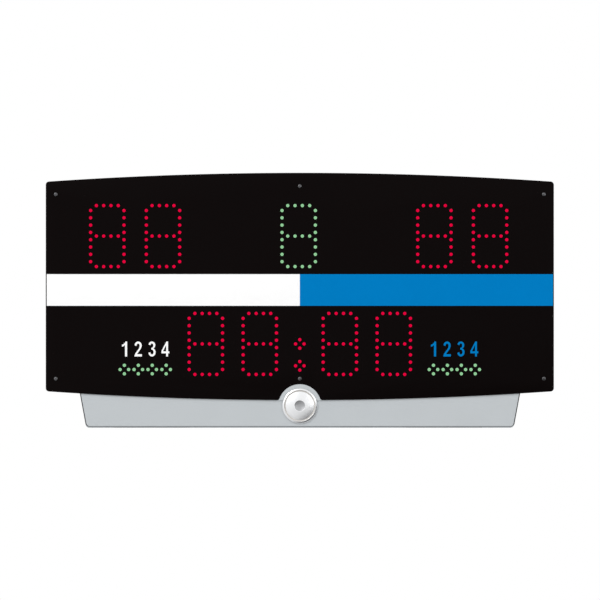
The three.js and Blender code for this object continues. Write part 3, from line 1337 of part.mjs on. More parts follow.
function wallRail() {
  const shelf = RAIL_Z + RAIL_SHELF;
  const lipBack = RAIL_SLOT;
  const lipFront = RAIL_SLOT + RAIL_THICKNESS;
  const top = shelf + RAIL_THICKNESS + RAIL_LIP;
  return section([
    [0, RAIL_Z - RAIL_BELOW],
    [RAIL_THICKNESS, RAIL_Z - RAIL_BELOW],
    [RAIL_THICKNESS, shelf],
    [lipFront, shelf],
    [lipFront, top],
    [lipBack, top],
    [lipBack, shelf + RAIL_THICKNESS],
    [0, shelf + RAIL_THICKNESS],
  ], railLength);
}

function caseCleat() {
  const lipTop = RAIL_Z + RAIL_SHELF + RAIL_THICKNESS + RAIL_LIP;
  const tongueFront = CLEAT_TONGUE_GAP + RAIL_THICKNESS;
  const plateBack = WALL_GAP - RAIL_THICKNESS;
  return section([
    [plateBack, lipTop + RAIL_THICKNESS - CLEAT_PLATE],
    [WALL_GAP, lipTop + RAIL_THICKNESS - CLEAT_PLATE],
    [WALL_GAP, lipTop + RAIL_THICKNESS],
    [CLEAT_TONGUE_GAP, lipTop + RAIL_THICKNESS],
    [CLEAT_TONGUE_GAP, lipTop - CLEAT_REACH],
    [tongueFront, lipTop - CLEAT_REACH],
    [tongueFront, lipTop],
    [plateBack, lipTop],
  ], cleatLength);
}

function lowerPad(x) {
  const profile = [
    [0, 0],
    [PAD_RADIUS - PAD_CHAMFER, 0],
    [PAD_RADIUS, PAD_CHAMFER],
    [PAD_RADIUS, WALL_GAP],
    [0, WALL_GAP],
  ];
  return turnedFacingFront(profile, x, PAD_Z, ROUND_SIDES);
}

// The whole board
const scoreboard = new THREE.Group();
const board = new THREE.Group();
board.position.set(0, 0, -RAIL_Z);
scoreboard.add(board);

function place(name, shape, material) {
  const mesh = new THREE.Mesh(shape.isBufferGeometry ? shape : geometryOf(shape), material);
  mesh.name = name;
  board.add(mesh);
  return mesh;
}

place('front_panel', frontPanel(), FINISH.panel);
place('white_strip', strip(-panelHalf, 0), FINISH.white);
place('blue_strip', strip(0, panelHalf), FINISH.blue);
Object.entries(panelScrews).forEach(([name, [x, z]]) => place(name, panelScrew(x, z), FINISH.steel));
place('case', boardCase(), FINISH.case);
place('rim_gasket', rimGasket(), FINISH.rubber);
place('chin_housing', chinHousing(), FINISH.chin);
place('chin_cover', chinCover(), FINISH.chin);
place('cover_screw_left', coverScrew(-coverScrewX), FINISH.steel);
place('cover_screw_right', coverScrew(coverScrewX), FINISH.steel);
place('chin_screw_left', chinScrew(-chinScrewX), FINISH.steel);
place('chin_screw_right', chinScrew(chinScrewX), FINISH.steel);
place('horn_ring', hornRing(), FINISH.horn);
place('horn_face', hornFace(), FINISH.horn);
place('horn_body', hornBody(), FINISH.blackPlastic);
place('horn_diaphragm', hornDiaphragm(), FINISH.aluminium);
place('horn_nut', hornNut(), FINISH.blackPlastic);
ledModules.forEach((module) => place(module.name, ledModule(module), module.colour));
place('power_supply', powerSupply(), FINISH.aluminium);
place('controller_board', controllerBoard(), FINISH.board);
place('radio_module', radioModule(), FINISH.board);
place('power_bay', powerBay(), FINISH.grey);
place('power_inlet', powerInlet(), FINISH.blackPlastic);
place('fuse_drawer', fuseDrawer(), FINISH.blackPlastic);
const rocker = place('power_rocker', powerRocker(), FINISH.redButton);
rocker.position.set(inletX + ROCKER_OFFSET, -bayMiddle, unitFace - ROCKER_TIP + ROCKER_PIVOT);
rocker.rotation.y = ROCKER_TILT;
place('console_socket', consoleSocket(), FINISH.blackPlastic);
place('socket_cap', socketCap(), FINISH.rubber);
place('service_bay', serviceBay(), FINISH.grey);
place('service_door', serviceDoor(), FINISH.chin);
place('door_hinge_pin', doorHingePin(), FINISH.steel);
place('door_latch', doorLatch(), FINISH.blackPlastic);
place('address_knob', addressKnob(), FINISH.blackPlastic);
place('test_button', testButton(), FINISH.redButton);
place('service_board', serviceBoard(), FINISH.board);
place('display_harness', displayHarness(), FINISH.ribbon);
place('cable_grommet', cableGrommet(), FINISH.rubber);
place('mains_lead', mainsLead(), FINISH.lead);
place('signal_lead', signalLead(), FINISH.lead);
place('horn_lead', hornLead(), FINISH.lead);
place('supply_lead', supplyLead(), FINISH.lead);
place('wall_rail', wallRail(), FINISH.aluminium);
place('case_cleat', caseCleat(), FINISH.aluminium);
place('lower_pad_left', lowerPad(-padX), FINISH.rubber);
place('lower_pad_right', lowerPad(padX), FINISH.rubber);

export default scoreboard;
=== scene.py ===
"""Wall-hung electronic scoreboard with a horn in its lower housing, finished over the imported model.

Lengths are written in millimetres. A place on the board is given as x to the right, depth from
the wall and height above the foot of the chin, which hangs 500 mm below the origin.
"""

import json
import math

import bmesh
import bpy
from mathutils import Matrix, Vector

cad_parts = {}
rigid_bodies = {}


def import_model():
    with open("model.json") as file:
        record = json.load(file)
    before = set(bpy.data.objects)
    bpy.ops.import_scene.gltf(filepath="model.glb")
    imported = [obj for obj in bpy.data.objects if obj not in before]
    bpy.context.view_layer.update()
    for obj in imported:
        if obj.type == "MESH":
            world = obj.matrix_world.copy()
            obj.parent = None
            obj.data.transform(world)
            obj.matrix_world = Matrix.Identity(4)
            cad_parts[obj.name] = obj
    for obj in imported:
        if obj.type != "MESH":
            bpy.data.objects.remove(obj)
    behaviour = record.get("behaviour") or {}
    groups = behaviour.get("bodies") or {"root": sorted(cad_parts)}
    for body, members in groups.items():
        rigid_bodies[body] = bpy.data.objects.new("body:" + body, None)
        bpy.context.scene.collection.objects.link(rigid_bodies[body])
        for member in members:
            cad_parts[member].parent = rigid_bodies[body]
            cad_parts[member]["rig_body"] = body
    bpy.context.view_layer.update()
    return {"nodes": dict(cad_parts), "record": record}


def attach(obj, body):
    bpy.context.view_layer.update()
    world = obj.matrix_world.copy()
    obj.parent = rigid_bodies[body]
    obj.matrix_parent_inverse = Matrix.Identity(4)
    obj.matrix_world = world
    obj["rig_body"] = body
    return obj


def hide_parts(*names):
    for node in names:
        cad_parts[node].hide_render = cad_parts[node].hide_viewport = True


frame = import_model()
nodes = frame["nodes"]

ORIGIN_HEIGHT = 500

# How far a cutter runs past what it cuts, and how deep a post sinks into its wall
OVERRUN = 1

# Depths from the wall
PANEL_BACK = 86
PANEL_FRONT = 90
STRIP_FRONT = 90.5
LED_TIP = 91.6
LED_BOARD_BACK = 78.4
LED_BOARD_FRONT = 80
CASE_BACK = 18
CASE_RIM = 84
CHIN_BACK = 30
COVER_BACK = 28
BAY_MIDDLE = 58
COLLAR_FRONT = 89.7

# Front panel, its notch and the horn
PANEL_HALF = 600
PANEL_FOOT = 65
PANEL_TOP = 602
PANEL_CORNER = 8
PANEL_ROUND = 0.4
EDGE_RADIUS = 8581.7
STRIP_LEFT = -597.7
STRIP_RIGHT = 597.9
STRIP_FOOT = 287.9
STRIP_TOP = 362.6
HORN_HEIGHT = 51.8
NOTCH_RADIUS = 51
NOTCH_FILLET = 6
COLLAR_GAP = 0.3
BEZEL_SEAT = 41.5
PANEL_SCREW_HOLE = 2.8
DOME_TOP = 92.45
DOME_RADIUS = 150
DISH_LOW = 89.2
DISH_RADIUS = 44

# Chin, and the openings in it
CHIN_LEFT = -504.8
CHIN_RIGHT = 505.6
CHIN_FOOT = 1.3
CHIN_TOP = 104
CHIN_WALL = 3
CHIN_FLARE = 524.2 / 505.2
CHIN_CORNER = 8.5
CHIN_RIM = 2.8
HOLLOW_HALF = 501.3
HOLLOW_FLARE = 518.3 / HOLLOW_HALF
HOLLOW_CORNER = 5.5
HORN_BORE = 33.35
BAY_XS = (-350, 340)
BAY_MOUTH_HALF = 90.35
BAY_MOUTH_BACK = 35.65
BAY_MOUTH_FRONT = 80.35
COVER_SCREW_X = 440
COVER_SCREW_HEIGHT = 52
COVER_BOSS_FRONT = 84.5
COVER_BORE_FRONT = 44
CHIN_SCREW_X = 470
CHIN_BOSS_TOP = 114
SCREW_BORE = 2.35
LEAD_X = -180
LEAD_DEPTH = 50
LEAD_BORE = 12

# Case
CASE_HALF = 590
CASE_CORNER = 12
CASE_WALL = 2
CASE_RIM_WIDTH = 9
CASE_TOP_GAP = 10
CASE_ROLL = 2.5
VENT_X = 60
VENT_HEIGHT = 350
VENT_PITCH = 14
VENT_HALF = 30
VENT_TALL = 4
POST_RADIUS = 5
POST_BORE = 2.6
POST_BORE_BACK = 64
BOARD_POST_XS = (88, 252)
BOARD_POST_HEIGHTS = (308, 392)
BOARD_POST_RADIUS = 3.5
BOARD_POST_FRONT = 28

# Rail, feet and fittings
RAIL_SCREW_XS = (-450, -270, -90, 90, 270, 450)
RAIL_SCREW_HEIGHT = 485
RAIL_SCREW_BORE = 3.5
PAD_X = 450
PAD_HEIGHT = 140
KNOB_X = 300
KNOB_FACETS = 48
KNOB_GRIP = (11.2, 18)
BUTTON_X = 380
INLET_PIN_XS = (-409, -402, -395)
INLET_PIN_HALF = 1.15
INLET_PIN_DEPTHS = (62.85, 67.15)
INLET_PIN_HEIGHTS = (23.6, 36.4)

# Painted shade on the chin's rounded front edge: dark at its sides, and barely darker than the chin
# underneath
EDGE_SIDE_SHADE = (30, 32, 35)
EDGE_UNDER_SHADE = (188, 193, 197)

# Where that painted shade fades in and where it ends at the collar, in metres along Y
EDGE_SHADE_BEGINS = (-0.0795, -0.0805)
EDGE_SHADE_ENDS = (-0.0868, -0.0862)

# The levels between which most of a speckle lies, and most of a line pattern or a cloud
SPECKLE = (0.35, 0.65)
STREAK = (0.3, 0.7)

# Lights and their rows. The two steps of a light's dome are given as inward and outward
LED_RADIUS = 3.8
LED_PITCH = 17.25
LED_HOLE = 4.1
LED_SINK = 0.8
LED_SHELF = (1, 1)
LED_CROWN = (1.4, 0.5)
DIGIT_SIDE = 39.4
DIGIT_ROW = 72
DIAMOND_REACH = 10
SCORE_ROW = 452.6
CLOCK_ROW = 197.9
COLON_ROW = 172.05
COLON_REACH = 25.85
PENALTY_ROW = 137.4
PENALTY_PITCH = 32.9
NUMERAL_FOOT = 167.8
NUMERAL_TALL = 0.972
NUMERAL_WIDE = 0.94
NUMERAL_RISE = 0.2


# The bench: choosing, marking and placing

def place(x, depth, height):
    return Vector((x, -depth, height - ORIGIN_HEIGHT)) / 1000


def depth_of(point):
    return -point.y * 1000


def height_of(point):
    return point.z * 1000 + ORIGIN_HEIGHT


def take(*chosen):
    for other in list(bpy.context.selected_objects):
        other.select_set(False)
    for piece in chosen:
        piece.select_set(True)
    bpy.context.view_layer.objects.active = chosen[0] if chosen else None


def new_piece(name, data):
    piece = bpy.data.objects.new(name, data)
    bpy.context.scene.collection.objects.link(piece)
    return piece


def settle(piece, name):
    """Names a piece and puts its place into its mesh."""
    piece.name = piece.data.name = name
    take(piece)
    bpy.ops.object.transform_apply(location=True, rotation=True, scale=True)
    return piece


def open_mesh(piece, part="FACE"):
    take(piece)
    bpy.ops.object.mode_set(mode="EDIT")
    bpy.ops.mesh.select_mode(type=part)
    bpy.ops.mesh.select_all(action="DESELECT")


def close_mesh():
    bpy.ops.object.mode_set(mode="OBJECT")


def mark_faces(piece, wanted):
    """Selects the faces of the open mesh whose middle and normal are the wanted ones."""
    bpy.ops.mesh.select_all(action="DESELECT")
    mesh = bmesh.from_edit_mesh(piece.data)
    mesh.normal_update()
    for face in mesh.faces:
        if wanted(face.calc_center_median(), face.normal):
            face.select_set(True)
    bmesh.update_edit_mesh(piece.data)


def mark_edges(piece, wanted):
    """Selects the edges of the open mesh whose middle and direction are the wanted ones."""
    bpy.ops.mesh.select_all(action="DESELECT")
    mesh = bmesh.from_edit_mesh(piece.data)
    for edge in mesh.edges:
        first, second = (corner.co for corner in edge.verts)
        if wanted((first + second) / 2, (second - first).normalized()):
            edge.select_set(True)
    bmesh.update_edit_mesh(piece.data)


def inset_faces(inward, outward):
    """Insets the selected faces of the open mesh, then lifts the part inside."""
    bpy.ops.mesh.inset(thickness=inward / 1000, depth=outward / 1000)


def round_edges(piece, wanted, radius, segments):
    """Rounds the wanted edges only, where ease_edges rounds every sharp one."""
    open_mesh(piece, "EDGE")
    mark_edges(piece, wanted)
    bpy.ops.mesh.bevel(offset=radius / 1000, segments=segments, affect="EDGES")
    close_mesh()
    return piece


def tidy_mesh(piece):
    """Merges doubled corners and turns the faces outwards."""
    open_mesh(piece)
    bpy.ops.mesh.select_all(action="SELECT")
    bpy.ops.mesh.remove_doubles(threshold=0.00001)
    bpy.ops.mesh.normals_make_consistent(inside=False)
    close_mesh()
    return piece


def smooth(piece, angle=35):
    take(piece)
    bpy.ops.object.shade_smooth_by_angle(angle=math.radians(angle))
    return piece


# The bench: blanks and cuts

def block(name, left, right, back, front, foot, top):
    take()
    low, high = place(left, front, foot), place(right, back, top)
    bpy.ops.mesh.primitive_cube_add(size=1, location=(low + high) / 2)
    piece = bpy.context.object
    piece.scale = high - low
    return settle(piece, name)


def depth_bar(name, x, height, radius, back, front, sides):
    take()
    bpy.ops.mesh.primitive_cylinder_add(
        vertices=sides, radius=radius / 1000, depth=(front - back) / 1000,
        location=place(x, (back + front) / 2, height), rotation=(math.pi / 2, 0, 0))
    return settle(bpy.context.object, name)


def upright_bar(name, x, depth, radius, foot, top, sides):
    take()
    bpy.ops.mesh.primitive_cylinder_add(
        vertices=sides, radius=radius / 1000, depth=(top - foot) / 1000,
        location=place(x, depth, (foot + top) / 2))
    return settle(bpy.context.object, name)


def ease_edges(piece, width):
    """Rounds every sharp edge, as a mould or a file leaves it."""
    take(piece)
    round_over = piece.modifiers.new("eased edges", "BEVEL")
    round_over.width = width / 1000
    round_over.segments = 2
    round_over.limit_method = "ANGLE"
    round_over.angle_limit = math.radians(30)
    round_over.profile = 0.7
    round_over.use_clamp_overlap = True
    bpy.ops.object.modifier_apply(modifier=round_over.name)
    return piece


def combine(piece, operation, others):
    for other in others:
        take(piece)
        change = piece.modifiers.new("combine", "BOOLEAN")
        change.operation = operation
        change.solver = "EXACT"
        change.object = other
        bpy.ops.object.modifier_apply(modifier=change.name)
        bpy.data.objects.remove(other)
    return piece


def cut_away(piece, *cutters):
    return combine(piece, "DIFFERENCE", cutters)


def weld_on(piece, *others):
    return combine(piece, "UNION", others)


def gather(piece, *others):
    """Joins separate shells into one piece."""
    take(piece, *others)
    bpy.ops.object.join()
    return piece


def flat_piece(name, outlines, back, front, edge, shrink):
    """A flat piece with its holes: outlines drawn on the board's front, shrunk and eased."""
    line = bpy.data.curves.new(name, "CURVE")
    line.dimensions = "2D"
    line.fill_mode = "BOTH"
    line.extrude = (front - back) / 2000 - edge / 1000
    line.bevel_depth = edge / 1000
    line.bevel_resolution = 2
    line.offset = -(edge + shrink) / 1000
    for outline in outlines:
        run = line.splines.new("POLY")
        run.points.add(len(outline) - 1)
        for point, (x, height) in zip(run.points, outline):
            point.co = (x / 1000, height / 1000, 0, 1)
        run.use_cyclic_u = True
    take(new_piece(name, line))
    bpy.ops.object.convert(target="MESH")
    piece = bpy.context.object
    piece.rotation_euler = (math.pi / 2, 0, 0)
    piece.location = place(0, (back + front) / 2, 0)
    return tidy_mesh(settle(piece, name))


def turned_piece(name, profile, steps, upright=False):
    """Turns a closed profile of radius and place along the axis, about the origin."""
    mesh = bpy.data.meshes.new(name)
    if upright:
        corners = [(radius / 1000, 0, along / 1000) for radius, along in profile]
    else:
        corners = [(radius / 1000, -along / 1000, 0) for radius, along in profile]
    runs = [(i, i + 1) for i in range(len(corners) - 1)]
    mesh.from_pydata(corners, runs, [])
    piece = new_piece(name, mesh)
    open_mesh(piece, "EDGE")
    bpy.ops.mesh.select_all(action="SELECT")
    axis = (0, 0, 1) if upright else (0, 1, 0)
    bpy.ops.mesh.spin(steps=steps, angle=2 * math.pi, center=(0, 0, 0), axis=axis)
    close_mesh()
    return tidy_mesh(piece)


def move_mesh(piece, x, depth, height):
    """Moves a piece that was made at the origin to its place on the board."""
    piece.data.transform(Matrix.Translation(place(x, depth, height)))
    piece.data.update()
    return piece


def copy_piece(model, name, turn=None):
    twin = new_piece(name, model.data.copy())
    twin.data.name = name
    if turn is not None:
        twin.data.transform(turn)
        twin.data.update()
    return twin


def scrap(*pieces):
    for piece in pieces:
        bpy.data.objects.remove(piece)


def arc(x, height, radius, start, end, steps):
    points = []
    for i in range(steps + 1):
        angle = start + (end - start) * i / steps
        points.append((x + radius * math.cos(angle), height + radius * math.sin(angle)))
    return points


def oval(x, height, wide, tall, start, end, steps):
    return [(x + wide * (px - x), height + tall * (pz - height))
            for px, pz in arc(x, height, 1, math.radians(start), math.radians(end), steps)]


# Finishes: a small kit for node trees

def paint(red, green, blue):
    """A colour as it looks on a screen, 0 to 255, turned into the numbers that a shader takes."""
    def straight(level):
        level /= 255
        return level / 12.92 if level <= 0.04045 else ((level + 0.055) / 1.055) ** 2.4
    return (straight(red), straight(green), straight(blue), 1)


def put(tree, kind, sockets=None, **settings):
    """Adds a node. A socket is given a value, or the output of another node to be fed from."""
    made = tree.nodes.new(kind)
    for name, value in settings.items():
        setattr(made, name, value)
    for name, value in (sockets or {}).items():
        if isinstance(value, bpy.types.NodeSocket):
            tree.links.new(value, made.inputs[name])
        else:
            made.inputs[name].default_value = value
    return made


def sums(tree, operation, first, second=0.0, clamp=False):
    made = put(tree, "ShaderNodeMath", {0: first, 1: second}, operation=operation, use_clamp=clamp)
    return made.outputs[0]


def ranged(tree, value, low, high, to_low=0.0, to_high=1.0):
    made = put(tree, "ShaderNodeMapRange", {
        "Value": value, "From Min": low, "From Max": high, "To Min": to_low, "To Max": to_high})
    return made.outputs["Result"]


def noise(tree, vector, scale, detail, roughness=0.5):
    made = put(tree, "ShaderNodeTexNoise", {
        "Vector": vector, "Scale": scale, "Detail": detail, "Roughness": roughness})
    return made.outputs["Fac"]


def axes(tree, vector):
    """The X, Y and Z of a vector."""
    return put(tree, "ShaderNodeSeparateXYZ", {"Vector": vector}).outputs


def blended(tree, factor, first, second):
    made = put(tree, "ShaderNodeMix", {0: factor, 6: first, 7: second}, data_type="RGBA")
    return made.outputs[2]


def new_group(name, inlets, outlets):
    group = bpy.data.node_groups.new(name, "ShaderNodeTree")
    for title, value in inlets.items():
        single = value is not None and not isinstance(value, tuple)
        kind = "NodeSocketFloat" if single else "NodeSocketVector"
        socket = group.interface.new_socket(title, in_out="INPUT", socket_type=kind)
        if value is not None:
            socket.default_value = value
    for title in outlets:
        group.interface.new_socket(title, in_out="OUTPUT", socket_type="NodeSocketFloat")
    return group, put(group, "NodeGroupInput").outputs, put(group, "NodeGroupOutput").inputs


def use(tree, group, sockets):
    return put(tree, "ShaderNodeGroup", sockets, node_tree=group)


def make_fine_grain():
    """Speckle of a given size over a slow cloudiness fifty times as wide."""
    group, given, out = new_group(
        "fine grain", {"Vector": None, "Size": 0.001}, ["Shade", "Height"])
    fine = noise(group, given["Vector"], sums(group, "DIVIDE", 1.0, given["Size"]),
                 detail=3.0, roughness=0.6)
    slow = noise(group, given["Vector"], sums(group, "DIVIDE", 0.02, given["Size"]), detail=2.0)
    both = sums(group, "ADD", sums(group, "MULTIPLY", fine, 0.55),
                sums(group, "MULTIPLY", slow, 0.45))
    group.links.new(both, out["Shade"])
    group.links.new(fine, out["Height"])
    return group


def make_edge_rub():
    """Mask of the edges that hands and cloths rub, broken up along their length."""
    group, given, out = new_group(
        "edge rub", {"Vector": None, "Reach": 0.001, "Patch": 0.02}, ["Mask"])
    eased = put(group, "ShaderNodeBevel", {"Radius": given["Reach"]}, samples=6)
    shape = put(group, "ShaderNodeNewGeometry")
    alike = put(group, "ShaderNodeVectorMath", {
        0: eased.outputs["Normal"], 1: shape.outputs["Normal"]}, operation="DOT_PRODUCT")
    edge = ranged(group, alike.outputs["Value"], 0.995, 0.86)
    patch = noise(group, given["Vector"], sums(group, "DIVIDE", 1.0, given["Patch"]),
                  detail=5.0, roughness=0.65)
    broken = ranged(group, patch, 0.42, 0.62, 0.15, 1.0)
    group.links.new(sums(group, "MULTIPLY", edge, broken, clamp=True), out["Mask"])
    return group


def make_settled_dust():
    """Mask of the thin dust that lies on faces that look up."""
    group, given, out = new_group("settled dust", {"Vector": None, "Amount": 0.3}, ["Mask"])
    shape = put(group, "ShaderNodeNewGeometry")
    up = axes(group, shape.outputs["Normal"])["Z"]
    drift = noise(group, given["Vector"], scale=60.0, detail=6.0, roughness=0.7)
    lying = sums(group, "MULTIPLY", ranged(group, up, 0.55, 0.95), ranged(group, drift, *STREAK))
    group.links.new(sums(group, "MULTIPLY", lying, given["Amount"], clamp=True), out["Mask"])
    return group


def make_drawn_lines():
    """Lines left by drawing or brushing: the stretch is long across them and short along them."""
    group, given, out = new_group(
        "drawn lines", {"Vector": None, "Stretch": (20.0, 4000.0, 4000.0)}, ["Shade", "Height"])
    laid = put(group, "ShaderNodeVectorMath", {0: given["Vector"], 1: given["Stretch"]},
               operation="MULTIPLY")
    lines = noise(group, laid.outputs["Vector"], scale=1.0, detail=3.0, roughness=0.55)
    group.links.new(lines, out["Shade"])
    group.links.new(lines, out["Height"])
    return group


def make_turned_lines():
    """Rings left by the lathe about the axis that runs along the depth."""
    group, given, out = new_group(
        "turned lines", {"Vector": None, "Pitch": 0.0004}, ["Shade", "Height"])
    apart = axes(group, given["Vector"])
    flat = put(group, "ShaderNodeCombineXYZ", {"X": apart["X"], "Y": apart["Z"]})
    radius = put(group, "ShaderNodeVectorMath", {0: flat.outputs["Vector"]}, operation="LENGTH")
    rings = put(group, "ShaderNodeTexNoise", {
        "W": sums(group, "DIVIDE", radius.outputs["Value"], given["Pitch"]),
        "Scale": 1.0, "Detail": 2.0}, noise_dimensions="1D")
    group.links.new(rings.outputs["Fac"], out["Shade"])
    group.links.new(rings.outputs["Fac"], out["Height"])
    return group


def make_moulded_skin():
    """Fine pebbled skin of an injection mould."""
    group, given, out = new_group(
        "moulded skin", {"Vector": None, "Size": 0.0006}, ["Shade", "Height"])
    pebbles = put(group, "ShaderNodeTexVoronoi", {
        "Vector": given["Vector"], "Scale": sums(group, "DIVIDE", 1.0, given["Size"])},
        feature="SMOOTH_F1")
    cloud = noise(group, given["Vector"], sums(group, "DIVIDE", 0.04, given["Size"]), detail=3.0)
    group.links.new(cloud, out["Shade"])
    group.links.new(pebbles.outputs["Distance"], out["Height"])
    return group


FINE_GRAIN = make_fine_grain()
EDGE_RUB = make_edge_rub()
SETTLED_DUST = make_settled_dust()
DRAWN_LINES = make_drawn_lines()
TURNED_LINES = make_turned_lines()
MOULDED_SKIN = make_moulded_skin()


# Every finish under the name that it was asked for
finishes = {}


def new_finish(name):
    """Starts a finish, and gives its nodes, its shader and coordinates to lay patterns by."""
    finish = finishes[name] = bpy.data.materials.new(name)
    finish.use_nodes = True
    tree = finish.node_tree
    tree.nodes.clear()
    shader = put(tree, "ShaderNodeBsdfPrincipled")
    end = put(tree, "ShaderNodeOutputMaterial")
    tree.links.new(shader.outputs["BSDF"], end.inputs["Surface"])
    spot = put(tree, "ShaderNodeTexCoord").outputs["Object"]
    return tree, shader, spot


def centred(tree, spot, x, depth, height):
    """Coordinates measured from a point of the board."""
    return put(tree, "ShaderNodeMapping", {
        "Vector": spot, "Location": -place(x, depth, height)}).outputs["Vector"]


def lay_on(tree, shader, face, shine):
    tree.links.new(face, shader.inputs["Base Color"])
    tree.links.new(shine, shader.inputs["Roughness"])


def raise_surface(tree, shader, height, distance):
    """Raises the surface by a bump of at most the distance, in millimetres."""
    bump = put(tree, "ShaderNodeBump", {
        "Height": height, "Distance": distance / 1000, "Strength": 1.0})
    tree.links.new(bump.outputs["Normal"], shader.inputs["Normal"])


def tones(colour, less, more):
    """The darker and the lighter tone between which a finish drifts."""
    dark = tuple(level * less for level in colour[:3]) + (1,)
    light = tuple(min(1, level * more) for level in colour[:3]) + (1,)
    return dark, light


def rubbed(tree, spot, face, bare, reach, patch, amount=1.0):
    """Rubs the edges through to the bare colour; reach and patch are in millimetres."""
    rub = use(tree, EDGE_RUB, {"Vector": spot, "Reach": reach / 1000, "Patch": patch / 1000})
    return blended(tree, sums(tree, "MULTIPLY", rub.outputs["Mask"], amount), face, bare)


def dusted(tree, spot, face, amount, dust=paint(150, 146, 140)):
    """Lays dust on what looks up, and gives the dust's mask too."""
    lying = use(tree, SETTLED_DUST, {"Vector": spot, "Amount": amount}).outputs["Mask"]
    return blended(tree, lying, face, dust), lying


def coated(name, colour, spread=0.05, rough=(0.42, 0.55), gloss=0.5, grain=1.2, depth=0.02,
           worn=None, reach=0.5, dust=0.25, painted_shade=None):
    """Paint or powder coat: grained, rubbed paler along its edges, dusty on top, then any painted
    shade laid over.
    """
    tree, shader, spot = new_finish(name)
    speck = use(tree, FINE_GRAIN, {"Vector": spot, "Size": grain / 1000})
    shade = speck.outputs["Shade"]
    dark, light = tones(colour, 1 - spread, 1 + spread)
    face = blended(tree, ranged(tree, shade, *SPECKLE), dark, light)
    if worn:
        face = rubbed(tree, spot, face, worn, reach, patch=20)
    face, _ = dusted(tree, spot, face, dust, paint(168, 163, 155))
    # Painted shade, such as along the chin's front edge, goes on last
    if painted_shade:
        face = painted_shade(tree, spot, face)
    lay_on(tree, shader, face, ranged(tree, shade, *SPECKLE, *rough))
    shader.inputs["Specular IOR Level"].default_value = gloss
    raise_surface(tree, shader, speck.outputs["Height"], depth)


def moulded(name, colour, rough=(0.45, 0.6), gloss=0.5, size=0.7, depth=0.02, worn=None,
            spread=0.08):
    """Moulded plastic or rubber: pebbled skin, paler along its edges, dusty on top."""
    tree, shader, spot = new_finish(name)
    skin = use(tree, MOULDED_SKIN, {"Vector": spot, "Size": size / 1000})
    shade = skin.outputs["Shade"]
    dark, light = tones(colour, 1 - spread, 1 + spread)
    face = blended(tree, ranged(tree, shade, *SPECKLE), dark, light)
    face = rubbed(tree, spot, face, worn or light, reach=0.4, patch=6, amount=0.6)
    face, _ = dusted(tree, spot, face, amount=0.2)
    lay_on(tree, shader, face, ranged(tree, shade, *SPECKLE, *rough))
    shader.inputs["Specular IOR Level"].default_value = gloss
    raise_surface(tree, shader, skin.outputs["Height"], depth)


def drawn_metal(name, colour, rough=(0.28, 0.42), stretch=(8.0, 3000.0, 3000.0), depth=0.01):
    """Bare metal with the lines of its drawing or brushing."""
    tree, shader, spot = new_finish(name)
    lines = use(tree, DRAWN_LINES, {"Vector": spot, "Stretch": stretch})
    shade = lines.outputs["Shade"]
    dark, light = tones(colour, 0.85, 1.12)
    face = blended(tree, ranged(tree, shade, *STREAK), dark, light)
    face = rubbed(tree, spot, face, light, reach=0.3, patch=10, amount=0.5)
    face, lying = dusted(tree, spot, face, amount=0.3)
    bare = sums(tree, "SUBTRACT", 1.0, lying, clamp=True)
    tree.links.new(bare, shader.inputs["Metallic"])
    lay_on(tree, shader, face, ranged(tree, shade, *STREAK, *rough))
    raise_surface(tree, shader, lines.outputs["Height"], depth)


def painted_edge_shade(tree, spot, ground):
    """Painted shade on the chin's rounded front edge: dark where that edge looks to the sides, paler
    where it looks down.
    """
    facing = axes(tree, put(tree, "ShaderNodeNewGeometry").outputs["Normal"])
    along = axes(tree, spot)["Y"]
    rim = sums(tree, "MULTIPLY", ranged(tree, along, *EDGE_SHADE_BEGINS),
               ranged(tree, along, *EDGE_SHADE_ENDS), clamp=True)
    rim = sums(tree, "MULTIPLY", rim, ranged(tree, facing["Z"], 0.25, 0.1), clamp=True)
    edge = sums(tree, "MULTIPLY", rim, ranged(tree, facing["Y"], -0.99, -0.965), clamp=True)
    # The painted shade's colour: near black at the sides, near the chin's own grey underneath
    coat = blended(tree, ranged(tree, facing["Z"], -0.35, -0.8),
                   paint(*EDGE_SIDE_SHADE), paint(*EDGE_UNDER_SHADE))
    return blended(tree, edge, ground, coat)


def plated(name, dark, light, crest, rough=(0.28, 0.33)):
    """Satin plating over turned metal, brighter along its crests."""
    tree, shader, spot = new_finish(name)
    middle = centred(tree, spot, 0, 88, HORN_HEIGHT)
    rings = use(tree, TURNED_LINES, {"Vector": middle, "Pitch": 0.0005})
    speck = use(tree, FINE_GRAIN, {"Vector": middle, "Size": 0.0008})
    face = blended(tree, ranged(tree, rings.outputs["Shade"], *STREAK), dark, light)
    face = rubbed(tree, middle, face, crest, reach=0.5, patch=8, amount=0.35)
    lay_on(tree, shader, face, ranged(tree, speck.outputs["Shade"], *SPECKLE, *rough))
    shader.inputs["Metallic"].default_value = 0.95
    raise_surface(tree, shader, rings.outputs["Height"], distance=0.004)


def make_lens(name, rim, middle, glass):
    """Lit LED: its own light, a little deeper in the middle, over a tinted lens."""
    tree, shader, spot = new_finish(name)
    across = put(tree, "ShaderNodeUVMap", uv_map="lens")
    from_axis = axes(tree, across.outputs["UV"])["X"]
    speck = use(tree, FINE_GRAIN, {"Vector": spot, "Size": 0.0012})
    shade = speck.outputs["Shade"]
    glow = blended(tree, ranged(tree, from_axis, 0.35, 0.95), middle, rim)
    glow = blended(tree, ranged(tree, shade, *STREAK, 0.0, 0.06), glow, middle)
    tree.links.new(glow, shader.inputs["Emission Color"])
    shader.inputs["Emission Strength"].default_value = 1.0
    tint = blended(tree, ranged(tree, shade, *STREAK, 0.0, 0.3), (0, 0, 0, 1), glass)
    lay_on(tree, shader, tint, ranged(tree, shade, *STREAK, 0.25, 0.4))
    shader.inputs["Specular IOR Level"].default_value = 0.02
    raise_surface(tree, shader, speck.outputs["Height"], distance=0.01)


